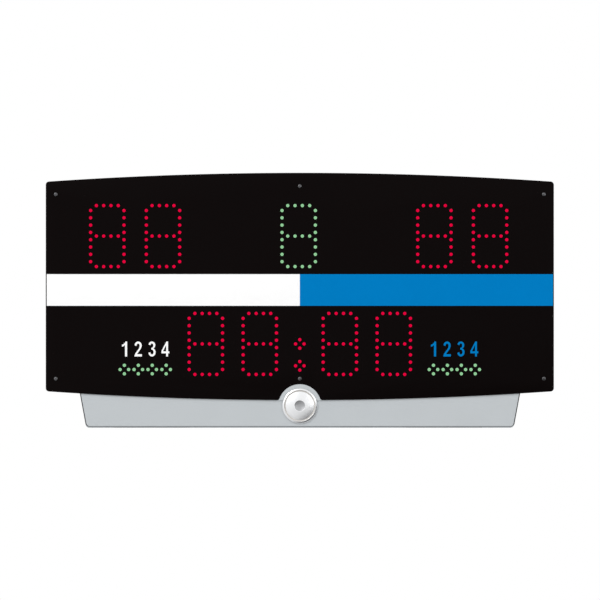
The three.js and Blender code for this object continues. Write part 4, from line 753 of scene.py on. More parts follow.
def make_board_green():
    """Circuit board: solder mask over copper tracks, with tinned pads."""
    tree, shader, spot = new_finish("board_green")
    flat = put(tree, "ShaderNodeMapping", {"Vector": spot, "Rotation": (math.pi / 2, 0, 0)})
    tracks = put(tree, "ShaderNodeTexBrick", {
        "Vector": flat.outputs["Vector"], "Scale": 1.0, "Mortar Size": 0.0004,
        "Brick Width": 0.011, "Row Height": 0.0032, "Mortar Smooth": 0.1}, offset=0.37)
    cells = put(tree, "ShaderNodeTexVoronoi", {"Vector": spot, "Scale": 210.0})
    pad = ranged(tree, cells.outputs["Distance"], 0.2, 0.14)
    speck = use(tree, FINE_GRAIN, {"Vector": spot, "Size": 0.0006})
    mask = blended(tree, speck.outputs["Shade"], paint(24, 82, 48), paint(30, 98, 58))
    copper = sums(tree, "MULTIPLY", tracks.outputs["Fac"], 0.7)
    face = blended(tree, copper, mask, paint(58, 132, 74))
    face = blended(tree, pad, face, paint(190, 188, 180))
    tree.links.new(sums(tree, "MULTIPLY", pad, 0.9), shader.inputs["Metallic"])
    lay_on(tree, shader, face, ranged(tree, pad, 0, 1, 0.38, 0.25))
    raise_surface(tree, shader, sums(tree, "ADD", tracks.outputs["Fac"], pad), distance=0.04)


def make_ribbon_grey():
    """Flat harness: parallel cores side by side, one edge core marked red."""
    tree, shader, spot = new_finish("ribbon_grey")
    cores = put(tree, "ShaderNodeTexWave", {"Vector": spot, "Scale": 320.0, "Distortion": 0.0},
                wave_type="BANDS", bands_direction="Z")
    speck = use(tree, FINE_GRAIN, {"Vector": spot, "Size": 0.001})
    sheath = blended(tree, speck.outputs["Shade"], paint(146, 150, 153), paint(166, 170, 173))
    # Painted shade: the sheath is painted darker in the valleys between the cores
    between = ranged(tree, cores.outputs["Fac"], 0.0, 0.35)
    face = blended(tree, between, paint(110, 113, 116), sheath)
    marked = ranged(tree, axes(tree, spot)["Z"], -0.1712, -0.1708)
    face = blended(tree, marked, face, paint(170, 40, 44))
    lay_on(tree, shader, face, ranged(tree, speck.outputs["Shade"], *STREAK, 0.5, 0.65))
    raise_surface(tree, shader, cores.outputs["Fac"], distance=0.15)


# The board's own finishes, one for each slot and two more for the horn

coated("panel_black", paint(8, 4, 4), spread=0.06, rough=(0.5, 0.6), gloss=0.03, grain=1.0,
       depth=0.008, worn=paint(16, 13, 13), reach=0.3, dust=0.12)
coated("strip_white", paint(254, 254, 254), spread=0.008, rough=(0.45, 0.55), gloss=0.2,
       grain=1.6, depth=0.006, dust=0.05)
coated("strip_blue", paint(0, 122, 191), spread=0.02, rough=(0.45, 0.55), gloss=0.01,
       grain=1.6, depth=0.006, dust=0.05)
coated("case_paint", paint(38, 39, 41), spread=0.12, rough=(0.5, 0.68), gloss=0.4, grain=0.9,
       depth=0.06, worn=paint(96, 97, 99), reach=0.6, dust=0.12)
# The chin's grey, with painted shade along its rounded front edge
coated("chin_grey", paint(192, 197, 200), spread=0.012, rough=(0.5, 0.6), gloss=0.25, grain=1.4,
       depth=0.012, worn=paint(212, 215, 217), reach=0.6, dust=0.2, painted_shade=painted_edge_shade)
drawn_metal("screw_steel", paint(88, 88, 90), rough=(0.3, 0.42), stretch=(900.0, 900.0, 900.0))
drawn_metal("aluminium_plain", paint(196, 198, 200))
plated("horn_silver", paint(226, 227, 229), paint(234, 235, 236), paint(245, 246, 247))
# The port's plating is the horn's, painted darker as the shade inside the port
plated("port_silver_painted_shade", paint(156, 157, 159), paint(166, 167, 169), paint(186, 187, 188),
       rough=(0.4, 0.46))
moulded("rubber_black", paint(24, 24, 25), rough=(0.7, 0.85), gloss=0.3, size=0.8, depth=0.03,
        worn=paint(48, 48, 49))
moulded("seal_grey", paint(210, 206, 200), rough=(0.6, 0.7), gloss=0.2, size=0.6, depth=0.01)
moulded("plastic_black", paint(36, 37, 39), rough=(0.38, 0.52), worn=paint(72, 72, 74))
moulded("plastic_grey", paint(140, 144, 147), worn=paint(168, 171, 173))
moulded("plastic_red", paint(180, 32, 40), worn=paint(205, 76, 78))
moulded("lead_black", paint(30, 30, 31), rough=(0.5, 0.62), gloss=0.4, size=1.0, depth=0.015,
        worn=paint(52, 52, 53))
make_lens("led_red", rim=paint(246, 0, 67), middle=paint(220, 0, 55), glass=paint(52, 0, 12))
make_lens("led_green", rim=paint(158, 220, 165), middle=paint(141, 195, 147),
          glass=paint(14, 44, 20))
make_board_green()
make_ribbon_grey()


def hand_over(piece, finish, body="board", replaced=()):
    """Gives a made piece its finish, its body and the nodes that it stands for."""
    piece.data.materials.clear()
    piece.data.materials.append(finishes[finish])
    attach(piece, body)
    if replaced:
        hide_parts(*replaced)
    return piece


# Camera, light and floor, in metres

CAMERA_SPOT = (0.00045, -4, -0.1984)
FRAMED_WIDTH = 1.417
BOARD_MIDDLE = Vector((0, 0, -0.2))
WHITE = (1, 1, 1, 1)
ROOM_LEVEL = 0.5
FLOOR_LEVEL = -1.3
FLOOR_WIDE = 14
FLOOR_LIFT = 0.6
FLAG_SPOT = Vector((0.38, -0.597, -0.86))
FLAG_WIDE = 1.4
FLAG_TALL = 0.8


def set_camera():
    """Straight on, a little left of the middle, as the photograph was framed."""
    take()
    bpy.ops.object.camera_add(location=CAMERA_SPOT, rotation=(math.pi / 2, 0, 0))
    camera = bpy.context.object
    camera.name = "front_camera"
    camera.data.type = "ORTHO"
    camera.data.ortho_scale = FRAMED_WIDTH
    camera.data.clip_end = 50
    bpy.context.scene.camera = camera


def set_lamp(name, spot, wide, power):
    take()
    bpy.ops.object.light_add(type="AREA", location=spot)
    lamp = bpy.context.object
    lamp.name = name
    lamp.data.size = wide
    lamp.data.energy = power
    lamp.rotation_euler = (BOARD_MIDDLE - Vector(spot)).to_track_quat("-Z", "Y").to_euler()


def watching(tree):
    """Two marks: for rays that look at a surface or mirror it, and for the camera's own."""
    ray = put(tree, "ShaderNodeLightPath").outputs
    seen = sums(tree, "MAXIMUM", ray["Is Camera Ray"], ray["Is Glossy Ray"])
    return sums(tree, "MAXIMUM", seen, ray["Is Transmission Ray"]), ray["Is Camera Ray"]


def set_light():
    bpy.context.scene.view_settings.view_transform = "Standard"
    set_lamp("key_lamp", (-3.3, -5.1, 3.0), wide=3.3, power=176)
    set_lamp("fill_lamp", (2.8, -3.6, 0.2), wide=2.6, power=42)
    world = bpy.data.worlds.new("studio")
    bpy.context.scene.world = world
    world.use_nodes = True
    tree = world.node_tree
    tree.nodes.clear()
    room = put(tree, "ShaderNodeBackground", {"Color": WHITE, "Strength": ROOM_LEVEL})
    backdrop = put(tree, "ShaderNodeBackground", {"Color": WHITE, "Strength": 1.0})
    watched, _ = watching(tree)
    both = put(tree, "ShaderNodeMixShader", {
        0: watched, 1: room.outputs[0], 2: backdrop.outputs[0]})
    put(tree, "ShaderNodeOutputWorld", {"Surface": both.outputs[0]})


def lay_floor():
    """A plain pale floor under the hung board, which can't be seen from below."""
    take()
    bpy.ops.mesh.primitive_grid_add(
        x_subdivisions=4, y_subdivisions=4, size=FLOOR_WIDE, location=(0, 0, FLOOR_LEVEL))
    floor = settle(bpy.context.object, "studio_floor")
    tree, shader, spot = new_finish("studio_floor")
    shade = use(tree, FINE_GRAIN, {"Vector": spot, "Size": 0.004}).outputs["Shade"]
    face = blended(tree, shade, paint(238, 238, 238), paint(244, 244, 244))
    lay_on(tree, shader, face, ranged(tree, shade, *STREAK, 0.85, 0.95))
    shader.inputs["Specular IOR Level"].default_value = 0.1
    watched, direct = watching(tree)
    below = put(tree, "ShaderNodeNewGeometry").outputs["Backfacing"]
    pale = put(tree, "ShaderNodeEmission", {"Color": WHITE, "Strength": 1.0})
    clear = put(tree, "ShaderNodeBsdfTransparent")
    lifted = put(tree, "ShaderNodeMixShader", {
        0: sums(tree, "MULTIPLY", watched, FLOOR_LIFT), 1: shader.outputs[0], 2: pale.outputs[0]})
    both = put(tree, "ShaderNodeMixShader", {
        0: sums(tree, "MULTIPLY", direct, below), 1: lifted.outputs[0], 2: clear.outputs[0]})
    tree.links.new(both.outputs[0], tree.nodes["Material Output"].inputs["Surface"])
    floor.data.materials.append(finishes["studio_floor"])


def hang_flag():
    """Grey card low on the right, seen only in the horn's plating, as a photographer hangs one."""
    take()
    bpy.ops.mesh.primitive_grid_add(x_subdivisions=2, y_subdivisions=2, size=1)
    flag = bpy.context.object
    facing = (place(0, PANEL_FRONT, HORN_HEIGHT) - FLAG_SPOT).normalized()
    across = facing.cross(Vector((0, 1, 0))).normalized()
    turned = Matrix((across, facing.cross(across), facing)).transposed().to_4x4()
    size = Matrix.Diagonal((FLAG_WIDE, FLAG_TALL, 1, 1))
    flag.matrix_world = Matrix.Translation(FLAG_SPOT) @ turned @ size
    settle(flag, "dark_flag")
    tree, shader, weave = new_finish("flag_cloth")
    shade = use(tree, FINE_GRAIN, {"Vector": weave, "Size": 0.003}).outputs["Shade"]
    tree.links.new(blended(tree, shade, paint(92, 92, 92), paint(104, 104, 104)),
                   shader.inputs["Base Color"])
    shader.inputs["Roughness"].default_value = 0.9
    flag.data.materials.append(finishes["flag_cloth"])
    flag.visible_camera = flag.visible_diffuse = flag.visible_shadow = False
    flag.visible_transmission = flag.visible_volume_scatter = False


# Places of the lights

def digit_lights():
    steps = [-1.5, -0.5, 0.5, 1.5]
    sides = [(side * DIGIT_SIDE, half * (step + 2) * LED_PITCH)
             for side in (-1, 1) for half in (-1, 1) for step in steps]
    rows = [(step * LED_PITCH, row * DIGIT_ROW) for row in (-1, 0, 1) for step in steps]
    return sides + rows


def diamond(x, height):
    return [(x + across * DIAMOND_REACH, height + up * DIAMOND_REACH)
            for across, up in ((0, 1), (1, 0), (0, -1), (-1, 0))]


def colon_lights():
    return diamond(0, COLON_REACH) + diamond(0, -COLON_REACH)


def penalty_lights():
    return [spot for step in (-1.5, -0.5, 0.5, 1.5) for spot in diamond(step * PENALTY_PITCH, 0)]


# Name, middle, row and colour of each digit
DIGITS = [
    ("home_score_tens", -454.6, SCORE_ROW, "led_red"),
    ("home_score_units", -323.1, SCORE_ROW, "led_red"),
    ("period_digit", -2.65, SCORE_ROW, "led_green"),
    ("guest_score_tens", 317.8, SCORE_ROW, "led_red"),
    ("guest_score_units", 449.3, SCORE_ROW, "led_red"),
    ("clock_minutes_tens", -221.9, CLOCK_ROW, "led_red"),
    ("clock_minutes_units", -94.5, CLOCK_ROW, "led_red"),
    ("clock_seconds_tens", 94.5, CLOCK_ROW, "led_red"),
    ("clock_seconds_units", 221.9, CLOCK_ROW, "led_red"),
]

# Half the width and half the height of each circuit board, its corners and its feet
DIGIT_BOARD = (49.4, 78.5)
COLON_BOARD = (20, 45.85)
PENALTY_BOARD = (69.35, 20)
BOARD_CORNER = 2
FOOT_INSET = 3
FOOT_RADIUS = 2.5
FOOT_SINK = 0.4

MODULES = [(name, x, row, digit_lights(), DIGIT_BOARD, colour)
           for name, x, row, colour in DIGITS]
MODULES += [
    ("clock_colon", 0, COLON_ROW, colon_lights(), COLON_BOARD, "led_red"),
    ("penalty_lights_left", -365, PENALTY_ROW, penalty_lights(), PENALTY_BOARD, "led_green"),
    ("penalty_lights_right", 365, PENALTY_ROW, penalty_lights(), PENALTY_BOARD, "led_green"),
]

# Place and turn of each screw in the panel
PANEL_SCREWS = {
    "panel_screw_top_left": (-576.5, 551.2, 20), "panel_screw_top_middle": (0, 570.6, 65),
    "panel_screw_top_right": (576.5, 551.2, 5), "panel_screw_low_left": (-576.5, 115.8, 40),
    "panel_screw_low_middle": (0, 115.8, 75), "panel_screw_low_right": (576.5, 115.8, 30),
}


# Front panel, its strips and its screws

def notch_outline(gap):
    """The notch over the horn with its fillets, from left to right, the gap inside the panel."""
    centre_height = PANEL_FOOT + NOTCH_FILLET
    rise = centre_height - HORN_HEIGHT
    centre_x = math.sqrt((NOTCH_RADIUS + NOTCH_FILLET) ** 2 - rise ** 2)
    turn = math.atan2(rise, centre_x)
    fillet = NOTCH_FILLET + gap
    return (
        arc(-centre_x, centre_height, fillet, -math.pi / 2, -turn, 8)
        + arc(0, HORN_HEIGHT, NOTCH_RADIUS - gap, math.pi - turn, turn, 48)[1:]
        + arc(centre_x, centre_height, fillet, math.pi + turn, math.pi * 3 / 2, 8)[1:]
    )


def panel_outline():
    inner = PANEL_HALF - PANEL_CORNER
    lean = math.asin(inner / (EDGE_RADIUS - PANEL_CORNER))
    rise = (EDGE_RADIUS - PANEL_CORNER) * math.cos(lean)
    low, high = PANEL_FOOT + EDGE_RADIUS, PANEL_TOP - EDGE_RADIUS
    notch = notch_outline(0)
    mouth = math.asin(notch[-1][0] / EDGE_RADIUS)
    down = -math.pi / 2
    return (
        arc(0, low, EDGE_RADIUS, down - lean, down - mouth, 30)
        + notch[1:]
        + arc(0, low, EDGE_RADIUS, down + mouth, down + lean, 30)[1:]
        + arc(inner, low - rise, PANEL_CORNER, down + lean, 0, 8)[1:]
        + arc(inner, high + rise, PANEL_CORNER, 0, -down - lean, 8)
        + arc(0, high, EDGE_RADIUS, -down - lean, -down + lean, 60)[1:]
        + arc(-inner, high + rise, PANEL_CORNER, -down + lean, math.pi, 8)[1:]
        + arc(-inner, low - rise, PANEL_CORNER, math.pi, math.pi - down - lean, 8)[:-1]
    )


def drill_bit(name, radius, lip=0.15):
    """A bit that leaves a hole through the panel with a small flare at its front."""
    bit = depth_bar(name, 0, ORIGIN_HEIGHT, radius,
                    PANEL_BACK - OVERRUN, PANEL_FRONT - lip, sides=20)
    open_mesh(bit)
    mark_faces(bit, lambda middle, normal: normal.y < -0.5)
    bpy.ops.mesh.extrude_region_move(TRANSFORM_OT_translate={"value": (0, -2 * lip / 1000, 0)})
    wide = (radius + 2 * lip) / radius
    bpy.ops.transform.resize(value=(wide, 1, wide), center_override=(0, 0, 0))
    close_mesh()
    return bit


def make_front_panel():
    panel = outline_block("front_panel_sheet", panel_outline(), PANEL_BACK, PANEL_FRONT)
    round_edges(panel, lambda middle, along: abs(along.y) < 0.1, PANEL_ROUND, segments=2)
    light_spots = [(x + dx, height + dz)
                   for _, x, height, lights, _, _ in MODULES for dx, dz in lights]
    screw_spots = [(x, height) for x, height, _ in PANEL_SCREWS.values()]
    for radius, spots in ((LED_HOLE, light_spots), (PANEL_SCREW_HOLE, screw_spots)):
        bit = drill_bit("bit", radius)
        cut_away(panel, stamp("bits", bit, spots))
        scrap(bit)
    hand_over(smooth(panel), "panel_black", replaced=["front_panel"])


def make_strips():
    """Printed bands that stop just short of the panel's ends, where the black shows."""
    for name, left, right, finish, node in (
            ("white_band", STRIP_LEFT, 0, "strip_white", "white_strip"),
            ("blue_band", 0, STRIP_RIGHT, "strip_blue", "blue_strip")):
        band = block(name, left, right, PANEL_FRONT, STRIP_FRONT, STRIP_FOOT, STRIP_TOP)
        ease_edges(band, width=0.12)
        hand_over(smooth(band), finish, replaced=[node])


def cross_head_screw(name, head, rise, shank, length):
    """A pan head with a cross recess, its seat at the origin and its head to the front."""
    profile = [
        (0, -length), (shank * 0.7, -length), (shank, 0.8 - length), (shank, 0), (head, 0),
        (head, rise * 0.28), (head * 0.93, rise * 0.56), (head * 0.76, rise * 0.8),
        (head * 0.5, rise * 0.94), (head * 0.22, rise), (0, rise)]
    screw = turned_piece(name, profile, steps=32)
    arms = []
    for turn in (0, math.pi / 2):
        take()
        bpy.ops.mesh.primitive_cube_add(
            size=1, location=(0, -rise / 1000, 0), rotation=(0, turn, 0))
        arm = bpy.context.object
        arm.scale = (head * 1.12 / 1000, rise * 1.3 / 1000, head * 0.24 / 1000)
        arms.append(settle(arm, name + "_arm"))
        open_mesh(arms[-1])
        mark_faces(arms[-1], lambda middle, normal: normal.y > 0.5)
        bpy.ops.transform.resize(value=(0.55, 1, 0.55), center_override=(0, 0, 0))
        close_mesh()
    return smooth(cut_away(screw, *arms))


def fit_screw(model, node, facing, turn, x, depth, height):
    """Fits a copy of a screw, its head facing one way and its recess turned by some degrees."""
    own = Matrix.Rotation(math.radians(turn), 4, "Y")
    head = move_mesh(copy_piece(model, node + "_head", facing @ own), x, depth, height)
    hand_over(head, "screw_steel", replaced=[node])


def make_screws():
    large = cross_head_screw("panel_screw", head=4.6, rise=2.2, shank=2.1, length=16)
    for node, (x, height, turn) in PANEL_SCREWS.items():
        fit_screw(large, node, Matrix(), turn, x, PANEL_FRONT, height)
    small = cross_head_screw("small_screw", head=4, rise=2, shank=2, length=13)
    rear = Matrix.Rotation(math.pi, 4, "Z")
    for side, x, turn in (("left", -COVER_SCREW_X, 25), ("right", COVER_SCREW_X, 70)):
        fit_screw(small, f"cover_screw_{side}", rear, turn, x, COVER_BACK, COVER_SCREW_HEIGHT)
    down = Matrix.Rotation(math.pi / 2, 4, "X")
    for side, x in (("left", -CHIN_SCREW_X), ("right", CHIN_SCREW_X)):
        fit_screw(small, f"chin_screw_{side}", down, 0, x, BAY_MIDDLE, CHIN_TOP - CHIN_WALL)
    scrap(large, small)


# Numerals over the penalty lights

def numeral_outlines(numeral):
    """Narrow bold numerals, drawn 37.2 high from their lower left corner."""
    if numeral == 1:
        return [[(7.6, 0), (13.8, 0), (13.8, 37.2), (9.0, 37.2), (8.2, 35.0), (6.4, 32.6),
                 (3.6, 30.5), (0, 29.2), (0, 23.4), (4.2, 24.9), (7.6, 27.4)]]
    if numeral == 2:
        return [oval(9.9, 26.7, 9.4, 10.5, 175, -12, 18)
                + [(17.6, 20.6), (15.3, 16.6), (12.0, 12.3), (9.4, 8.9), (7.9, 6.4),
                   (19.8, 6.4), (19.8, 0), (0, 0), (0.7, 4.0), (2.6, 8.2), (6.2, 13.2),
                   (10.3, 18.3), (12.6, 21.9)]
                + oval(9.9, 26.9, 3.4, 4.6, -20, 170, 12) + [(6.3, 25.2)]]
    if numeral == 3:
        return [oval(9.4, 28.1, 8.9, 9.1, 172, -20, 16)
                + [(16.6, 22.4), (14.0, 19.9), (17.2, 17.3)]
                + oval(9.6, 10.9, 9.4, 10.9, 20, -172, 20)
                + [(5.9, 11.4)] + oval(9.6, 10.9, 3.6, 5.2, -170, 25, 14)
                + [(11.9, 15.4), (10.3, 16.6), (7.6, 16.8), (7.6, 22.0), (10.0, 22.2),
                   (11.9, 23.6)]
                + oval(9.4, 28.0, 3.1, 3.9, -18, 168, 12) + [(6.0, 27.2)]]
    return [[(11.7, 0), (17.3, 0), (17.3, 7.7), (20.6, 7.7), (20.6, 13.4), (17.3, 13.4),
             (17.3, 37.2), (12.5, 37.2), (0, 13.9), (0, 7.7), (11.7, 7.7)],
            [(11.7, 13.4), (4.9, 13.4), (11.7, 26.6)]]


def make_numerals():
    middles = {
        "left": ((-413.9, -381.8, -349.2, -317.4), "strip_white"),
        "right": ((315.8, 347.8, 380.4, 412.1), "strip_blue"),
    }
    for side, (places, finish) in middles.items():
        for numeral, middle in enumerate(places, start=1):
            outlines = numeral_outlines(numeral)
            half = max(x for x, _ in outlines[0]) / 2
            moved = [[(middle + (x - half) * NUMERAL_WIDE, NUMERAL_FOOT + z * NUMERAL_TALL)
                      for x, z in line] for line in outlines]
            sign = flat_piece(f"penalty_numeral_{side}_{numeral}", moved,
                              PANEL_FRONT, PANEL_FRONT + NUMERAL_RISE, edge=0.03, shrink=0.42)
            hand_over(smooth(sign), finish)


# Lights and their circuit boards

def make_lens_shape():
    """One LED: a straight barrel with a domed end, and its distance from the axis kept as a map."""
    lens = depth_bar("led_lens", 0, ORIGIN_HEIGHT, LED_RADIUS,
                     LED_BOARD_FRONT - LED_SINK, LED_TIP - LED_SHELF[1] - LED_CROWN[1], sides=14)
    open_mesh(lens)
    mark_faces(lens, lambda middle, normal: normal.y < -0.5)
    inset_faces(*LED_SHELF)
    inset_faces(*LED_CROWN)
    close_mesh()
    for layer in list(lens.data.uv_layers):
        lens.data.uv_layers.remove(layer)
    chart = lens.data.uv_layers.new(name="lens")
    for loop in lens.data.loops:
        corner = lens.data.vertices[loop.vertex_index].co
        chart.data[loop.index].uv = (math.hypot(corner.x, corner.z) * 1000 / LED_RADIUS, 0.5)
    return smooth(lens, angle=60)


def stamp(name, model, spots):
    """One mesh made of copies of a model, moved to each spot."""
    mesh = bmesh.new()
    for x, height in spots:
        before = len(mesh.verts)
        mesh.from_mesh(model.data)
        mesh.verts.ensure_lookup_table()
        bmesh.ops.translate(mesh, verts=mesh.verts[before:], vec=place(x, 0, height))
    data = bpy.data.meshes.new(name)
    mesh.to_mesh(data)
    mesh.free()
    return new_piece(name, data)


def make_module(lens, name, x, height, lights, half, colour):
    """Lit lenses on a circuit board that stands off the panel on four feet."""
    half_wide, half_tall = half
    spots = [(x + dx, height + dz) for dx, dz in lights]
    hand_over(smooth(stamp(name + "_leds", lens, spots), angle=60), colour, replaced=[name])
    board = block(name + "_board", x - half_wide, x + half_wide, LED_BOARD_BACK, LED_BOARD_FRONT,
                  height - half_tall, height + half_tall)
    round_edges(board, lambda middle, along: abs(along.y) > 0.9, BOARD_CORNER, segments=3)
    feet = [depth_bar("foot", x + side * (half_wide - FOOT_INSET),
                      height + end * (half_tall - FOOT_INSET), FOOT_RADIUS,
                      LED_BOARD_FRONT - FOOT_SINK, PANEL_BACK, sides=16)
            for side in (-1, 1) for end in (-1, 1)]
    gather(board, *feet)
    hand_over(smooth(board), "board_green", replaced=[name])


# Chin, case and horn

def flared_box(name, left, right, back, front, foot, top, flare, corner, segments):
    """A box drawn out to the sides at its top, its two lower corners rounded."""
    box = block(name, left, right, back, front, foot, top)
    open_mesh(box)
    mark_faces(box, lambda middle, normal: normal.z > 0.5)
    bpy.ops.transform.resize(value=(flare, 1, 1), center_override=(0, 0, 0))
    close_mesh()
    return round_edges(box, lambda middle, along: abs(along.y) > 0.9 and height_of(middle) < 50,
                       corner, segments)


def make_chin_housing():
    """Tapered box: drawn out to the top, its corners and front rim rounded, then hollowed."""
    inner_top = CHIN_TOP - CHIN_WALL
    chin = flared_box("chin_shell", CHIN_LEFT, CHIN_RIGHT, CHIN_BACK, PANEL_BACK, CHIN_FOOT,
                      CHIN_TOP, CHIN_FLARE, CHIN_CORNER, segments=8)
    round_edges(chin, lambda middle, along: abs(along.y) < 0.1 and height_of(middle) < 100
                and depth_of(middle) > PANEL_BACK - 0.5, CHIN_RIM, segments=6)
    cutters = [
        flared_box("hollow", -HOLLOW_HALF, HOLLOW_HALF, CHIN_BACK - OVERRUN, PANEL_BACK - CHIN_WALL,
                   CHIN_WALL, inner_top, HOLLOW_FLARE, HOLLOW_CORNER, segments=6),
        depth_bar("horn_bore", 0, HORN_HEIGHT, HORN_BORE,
                  PANEL_BACK - CHIN_WALL - OVERRUN, PANEL_BACK + OVERRUN, sides=64),
        upright_bar("lead_passage", LEAD_X, LEAD_DEPTH, LEAD_BORE,
                    inner_top - OVERRUN, CHIN_TOP + OVERRUN, sides=48)]
    for x in BAY_XS:
        cutters.append(block("bay_mouth", x - BAY_MOUTH_HALF, x + BAY_MOUTH_HALF,
                             BAY_MOUTH_BACK, BAY_MOUTH_FRONT, -OVERRUN, CHIN_WALL + OVERRUN))
    for x in (-CHIN_SCREW_X, CHIN_SCREW_X):
        cutters.append(upright_bar("screw_bore", x, BAY_MIDDLE, SCREW_BORE,
                                   inner_top - OVERRUN, CHIN_TOP + OVERRUN, sides=24))
    cut_away(chin, *cutters)
    for x in (-COVER_SCREW_X, COVER_SCREW_X):
        boss = depth_bar("cover_boss", x, COVER_SCREW_HEIGHT, POST_RADIUS,
                         CHIN_BACK, COVER_BOSS_FRONT, sides=32)
        bore = depth_bar("boss_bore", x, COVER_SCREW_HEIGHT, SCREW_BORE,
                         CHIN_BACK - OVERRUN, COVER_BORE_FRONT, sides=24)
        weld_on(chin, cut_away(boss, bore))
    hand_over(smooth(tidy_mesh(chin)), "chin_grey", replaced=["chin_housing"])


def case_outline(inset):
    """The case seen from the front, its curved top alongside the panel's."""
    half, corner, foot = CASE_HALF - inset, CASE_CORNER - inset, CHIN_TOP + inset
    radius = EDGE_RADIUS - CASE_TOP_GAP - inset
    lean = math.asin((half - corner) / (radius - corner))
    middle = PANEL_TOP - EDGE_RADIUS
    high = middle + (radius - corner) * math.cos(lean)
    right = math.pi / 2
    return (
        arc(corner - half, foot + corner, corner, 2 * right, 3 * right, 8)
        + arc(half - corner, foot + corner, corner, -right, 0, 8)
        + arc(half - corner, high, corner, 0, right - lean, 8)
        + arc(0, middle, radius, right - lean, right + lean, 60)[1:]
        + arc(corner - half, high, corner, right + lean, 2 * right, 8)[1:]
    )


def outline_block(name, outline, back, front):
    """A block of the outline's shape: one face, drawn out from the back to the front."""
    mesh = bpy.data.meshes.new(name)
    mesh.from_pydata([place(x, back, height) for x, height in outline], [], [range(len(outline))])
    piece = new_piece(name, mesh)
    open_mesh(piece)
    bpy.ops.mesh.select_all(action="SELECT")
    bpy.ops.mesh.extrude_region_move(
        TRANSFORM_OT_translate={"value": (0, (back - front) / 1000, 0)})
    close_mesh()
    return tidy_mesh(piece)


def make_vents():
    """Round-ended slots in two columns, joined into one cutter."""
    slots = []
    for row in (-1.5, -0.5, 0.5, 1.5):
        for x in (-VENT_X, VENT_X):
            foot = VENT_HEIGHT + row * VENT_PITCH
            slot = block("vent", x - VENT_HALF, x + VENT_HALF, CASE_BACK - OVERRUN,
                         CASE_BACK + CASE_WALL + OVERRUN, foot, foot + VENT_TALL)
            slots.append(round_edges(slot, lambda middle, along: abs(along.y) > 0.9,
                                     VENT_TALL / 2 - 0.01, segments=6))
    return gather(*slots)


def make_posts():
    """Posts for the panel's screws, the controller board and the chin's screws."""
    sunk = CASE_BACK + CASE_WALL - OVERRUN
    posts = []
    for x, height, _ in PANEL_SCREWS.values():
        post = depth_bar("panel_post", x, height, POST_RADIUS, sunk, PANEL_BACK, sides=24)
        bore = depth_bar("post_bore", x, height, POST_BORE,
                         POST_BORE_BACK, PANEL_BACK + OVERRUN, sides=20)
        posts.append(cut_away(post, bore))
    for x in BOARD_POST_XS:
        for height in BOARD_POST_HEIGHTS:
            posts.append(depth_bar("board_post", x, height, BOARD_POST_RADIUS,
                                   sunk, BOARD_POST_FRONT, sides=20))
    for x in (-CHIN_SCREW_X, CHIN_SCREW_X):
        boss = upright_bar("chin_boss", x, BAY_MIDDLE, POST_RADIUS,
                           CHIN_TOP + OVERRUN, CHIN_BOSS_TOP, sides=24)
        bore = upright_bar("boss_bore", x, BAY_MIDDLE, SCREW_BORE,
                           CHIN_TOP, CHIN_BOSS_TOP + OVERRUN, sides=20)
        posts.append(cut_away(boss, bore))
    return posts


def make_case():
    """Folded steel tray with a rolled rear edge, an inward rim, vents and screw posts."""
    inside = CASE_BACK + CASE_WALL
    foot_cut = (CHIN_TOP - OVERRUN, CHIN_TOP + CASE_WALL + OVERRUN)
    tray = outline_block("case_tray", case_outline(0), CASE_BACK, CASE_RIM)
    round_edges(tray, lambda middle, along: abs(along.y) < 0.1
                and depth_of(middle) < CASE_BACK + 0.5, CASE_ROLL, segments=4)
    cutters = [outline_block("cavity", case_outline(CASE_WALL), inside, CASE_RIM - CASE_WALL),
               outline_block("mouth", case_outline(CASE_RIM_WIDTH),
                             inside + OVERRUN, CASE_RIM + OVERRUN),
               upright_bar("lead_passage", LEAD_X, LEAD_DEPTH, LEAD_BORE, *foot_cut, sides=48)]
    for x in (-CHIN_SCREW_X, CHIN_SCREW_X):
        cutters.append(upright_bar("screw_bore", x, BAY_MIDDLE, SCREW_BORE, *foot_cut, sides=24))
    cut_away(tray, *cutters, make_vents())
    gather(tray, *make_posts())
    hand_over(smooth(tray), "case_paint", replaced=["case"])


def make_horn():
    """Bezel, seal, domed face and the dish in its middle, each turned about the horn's axis; the dish
    is the horn's plating painted darker as the shade inside the port.
    """
    bezel = [(30, 86), (41.3, 86), (41.3, 90.0), (41.1, 90.6), (40.7, 91.0), (40, 91.35),
             (39, 91.8), (38, 92.2), (37.3, 92.42), (37.0, 92.35), (36.8, 92.1), (36.8, 88),
             (30, 88), (30, 86)]
    seal = [(34.2, 88.02), (36.75, 88.02), (36.75, 89.6), (36.3, 89.9), (34.7, 89.9),
            (34.2, 89.6), (34.2, 88.02)]
    dome = [(r, DOME_TOP - r * r / (2 * DOME_RADIUS))
            for r in (34.0, 32, 30, 27, 24, 21, 18, 15.5, 13.6)]
    face = [(13.2, 88.02), (34.15, 88.02), (34.15, 88.35)] + dome + [
        (12.75, 91.88), (12.45, 91.8), (12.35, 91.55), (12.35, 89.4), (13.2, 88.02)]
    dish = [(r, DISH_LOW + r * r / (2 * DISH_RADIUS))
            for r in (0, 2, 4, 6, 8, 10, 11.4, 12.3)]
    dish += [(12.3, DISH_LOW - 0.4), (0, DISH_LOW - 0.8)]
    for name, profile, finish, replaced, slot in (
            ("horn_bezel", bezel, "horn_silver", ["horn_ring"], "horn_silver"),
            ("horn_seal", seal, "seal_grey", [], "plastic_grey"),
            ("horn_cone", face, "horn_silver", ["horn_face"], "horn_silver"),
            ("horn_port_dish", dish, "port_silver_painted_shade", ["horn_face"], "horn_silver")):
        turned = move_mesh(turned_piece(name, profile, steps=96), 0, 0, HORN_HEIGHT)
        hand_over(smooth(turned, angle=40), finish, replaced=replaced)


def make_collar():
    """Raised part of the chin that fills the panel's notch round the horn."""
    collar = outline_block("horn_collar", notch_outline(COLLAR_GAP), PANEL_BACK, COLLAR_FRONT)
    cut_away(collar, depth_bar("bezel_seat", 0, HORN_HEIGHT, BEZEL_SEAT,
                               PANEL_BACK - OVERRUN, PANEL_FRONT + OVERRUN, sides=96))
    hand_over(smooth(ease_edges(collar, width=0.25)), "chin_grey")


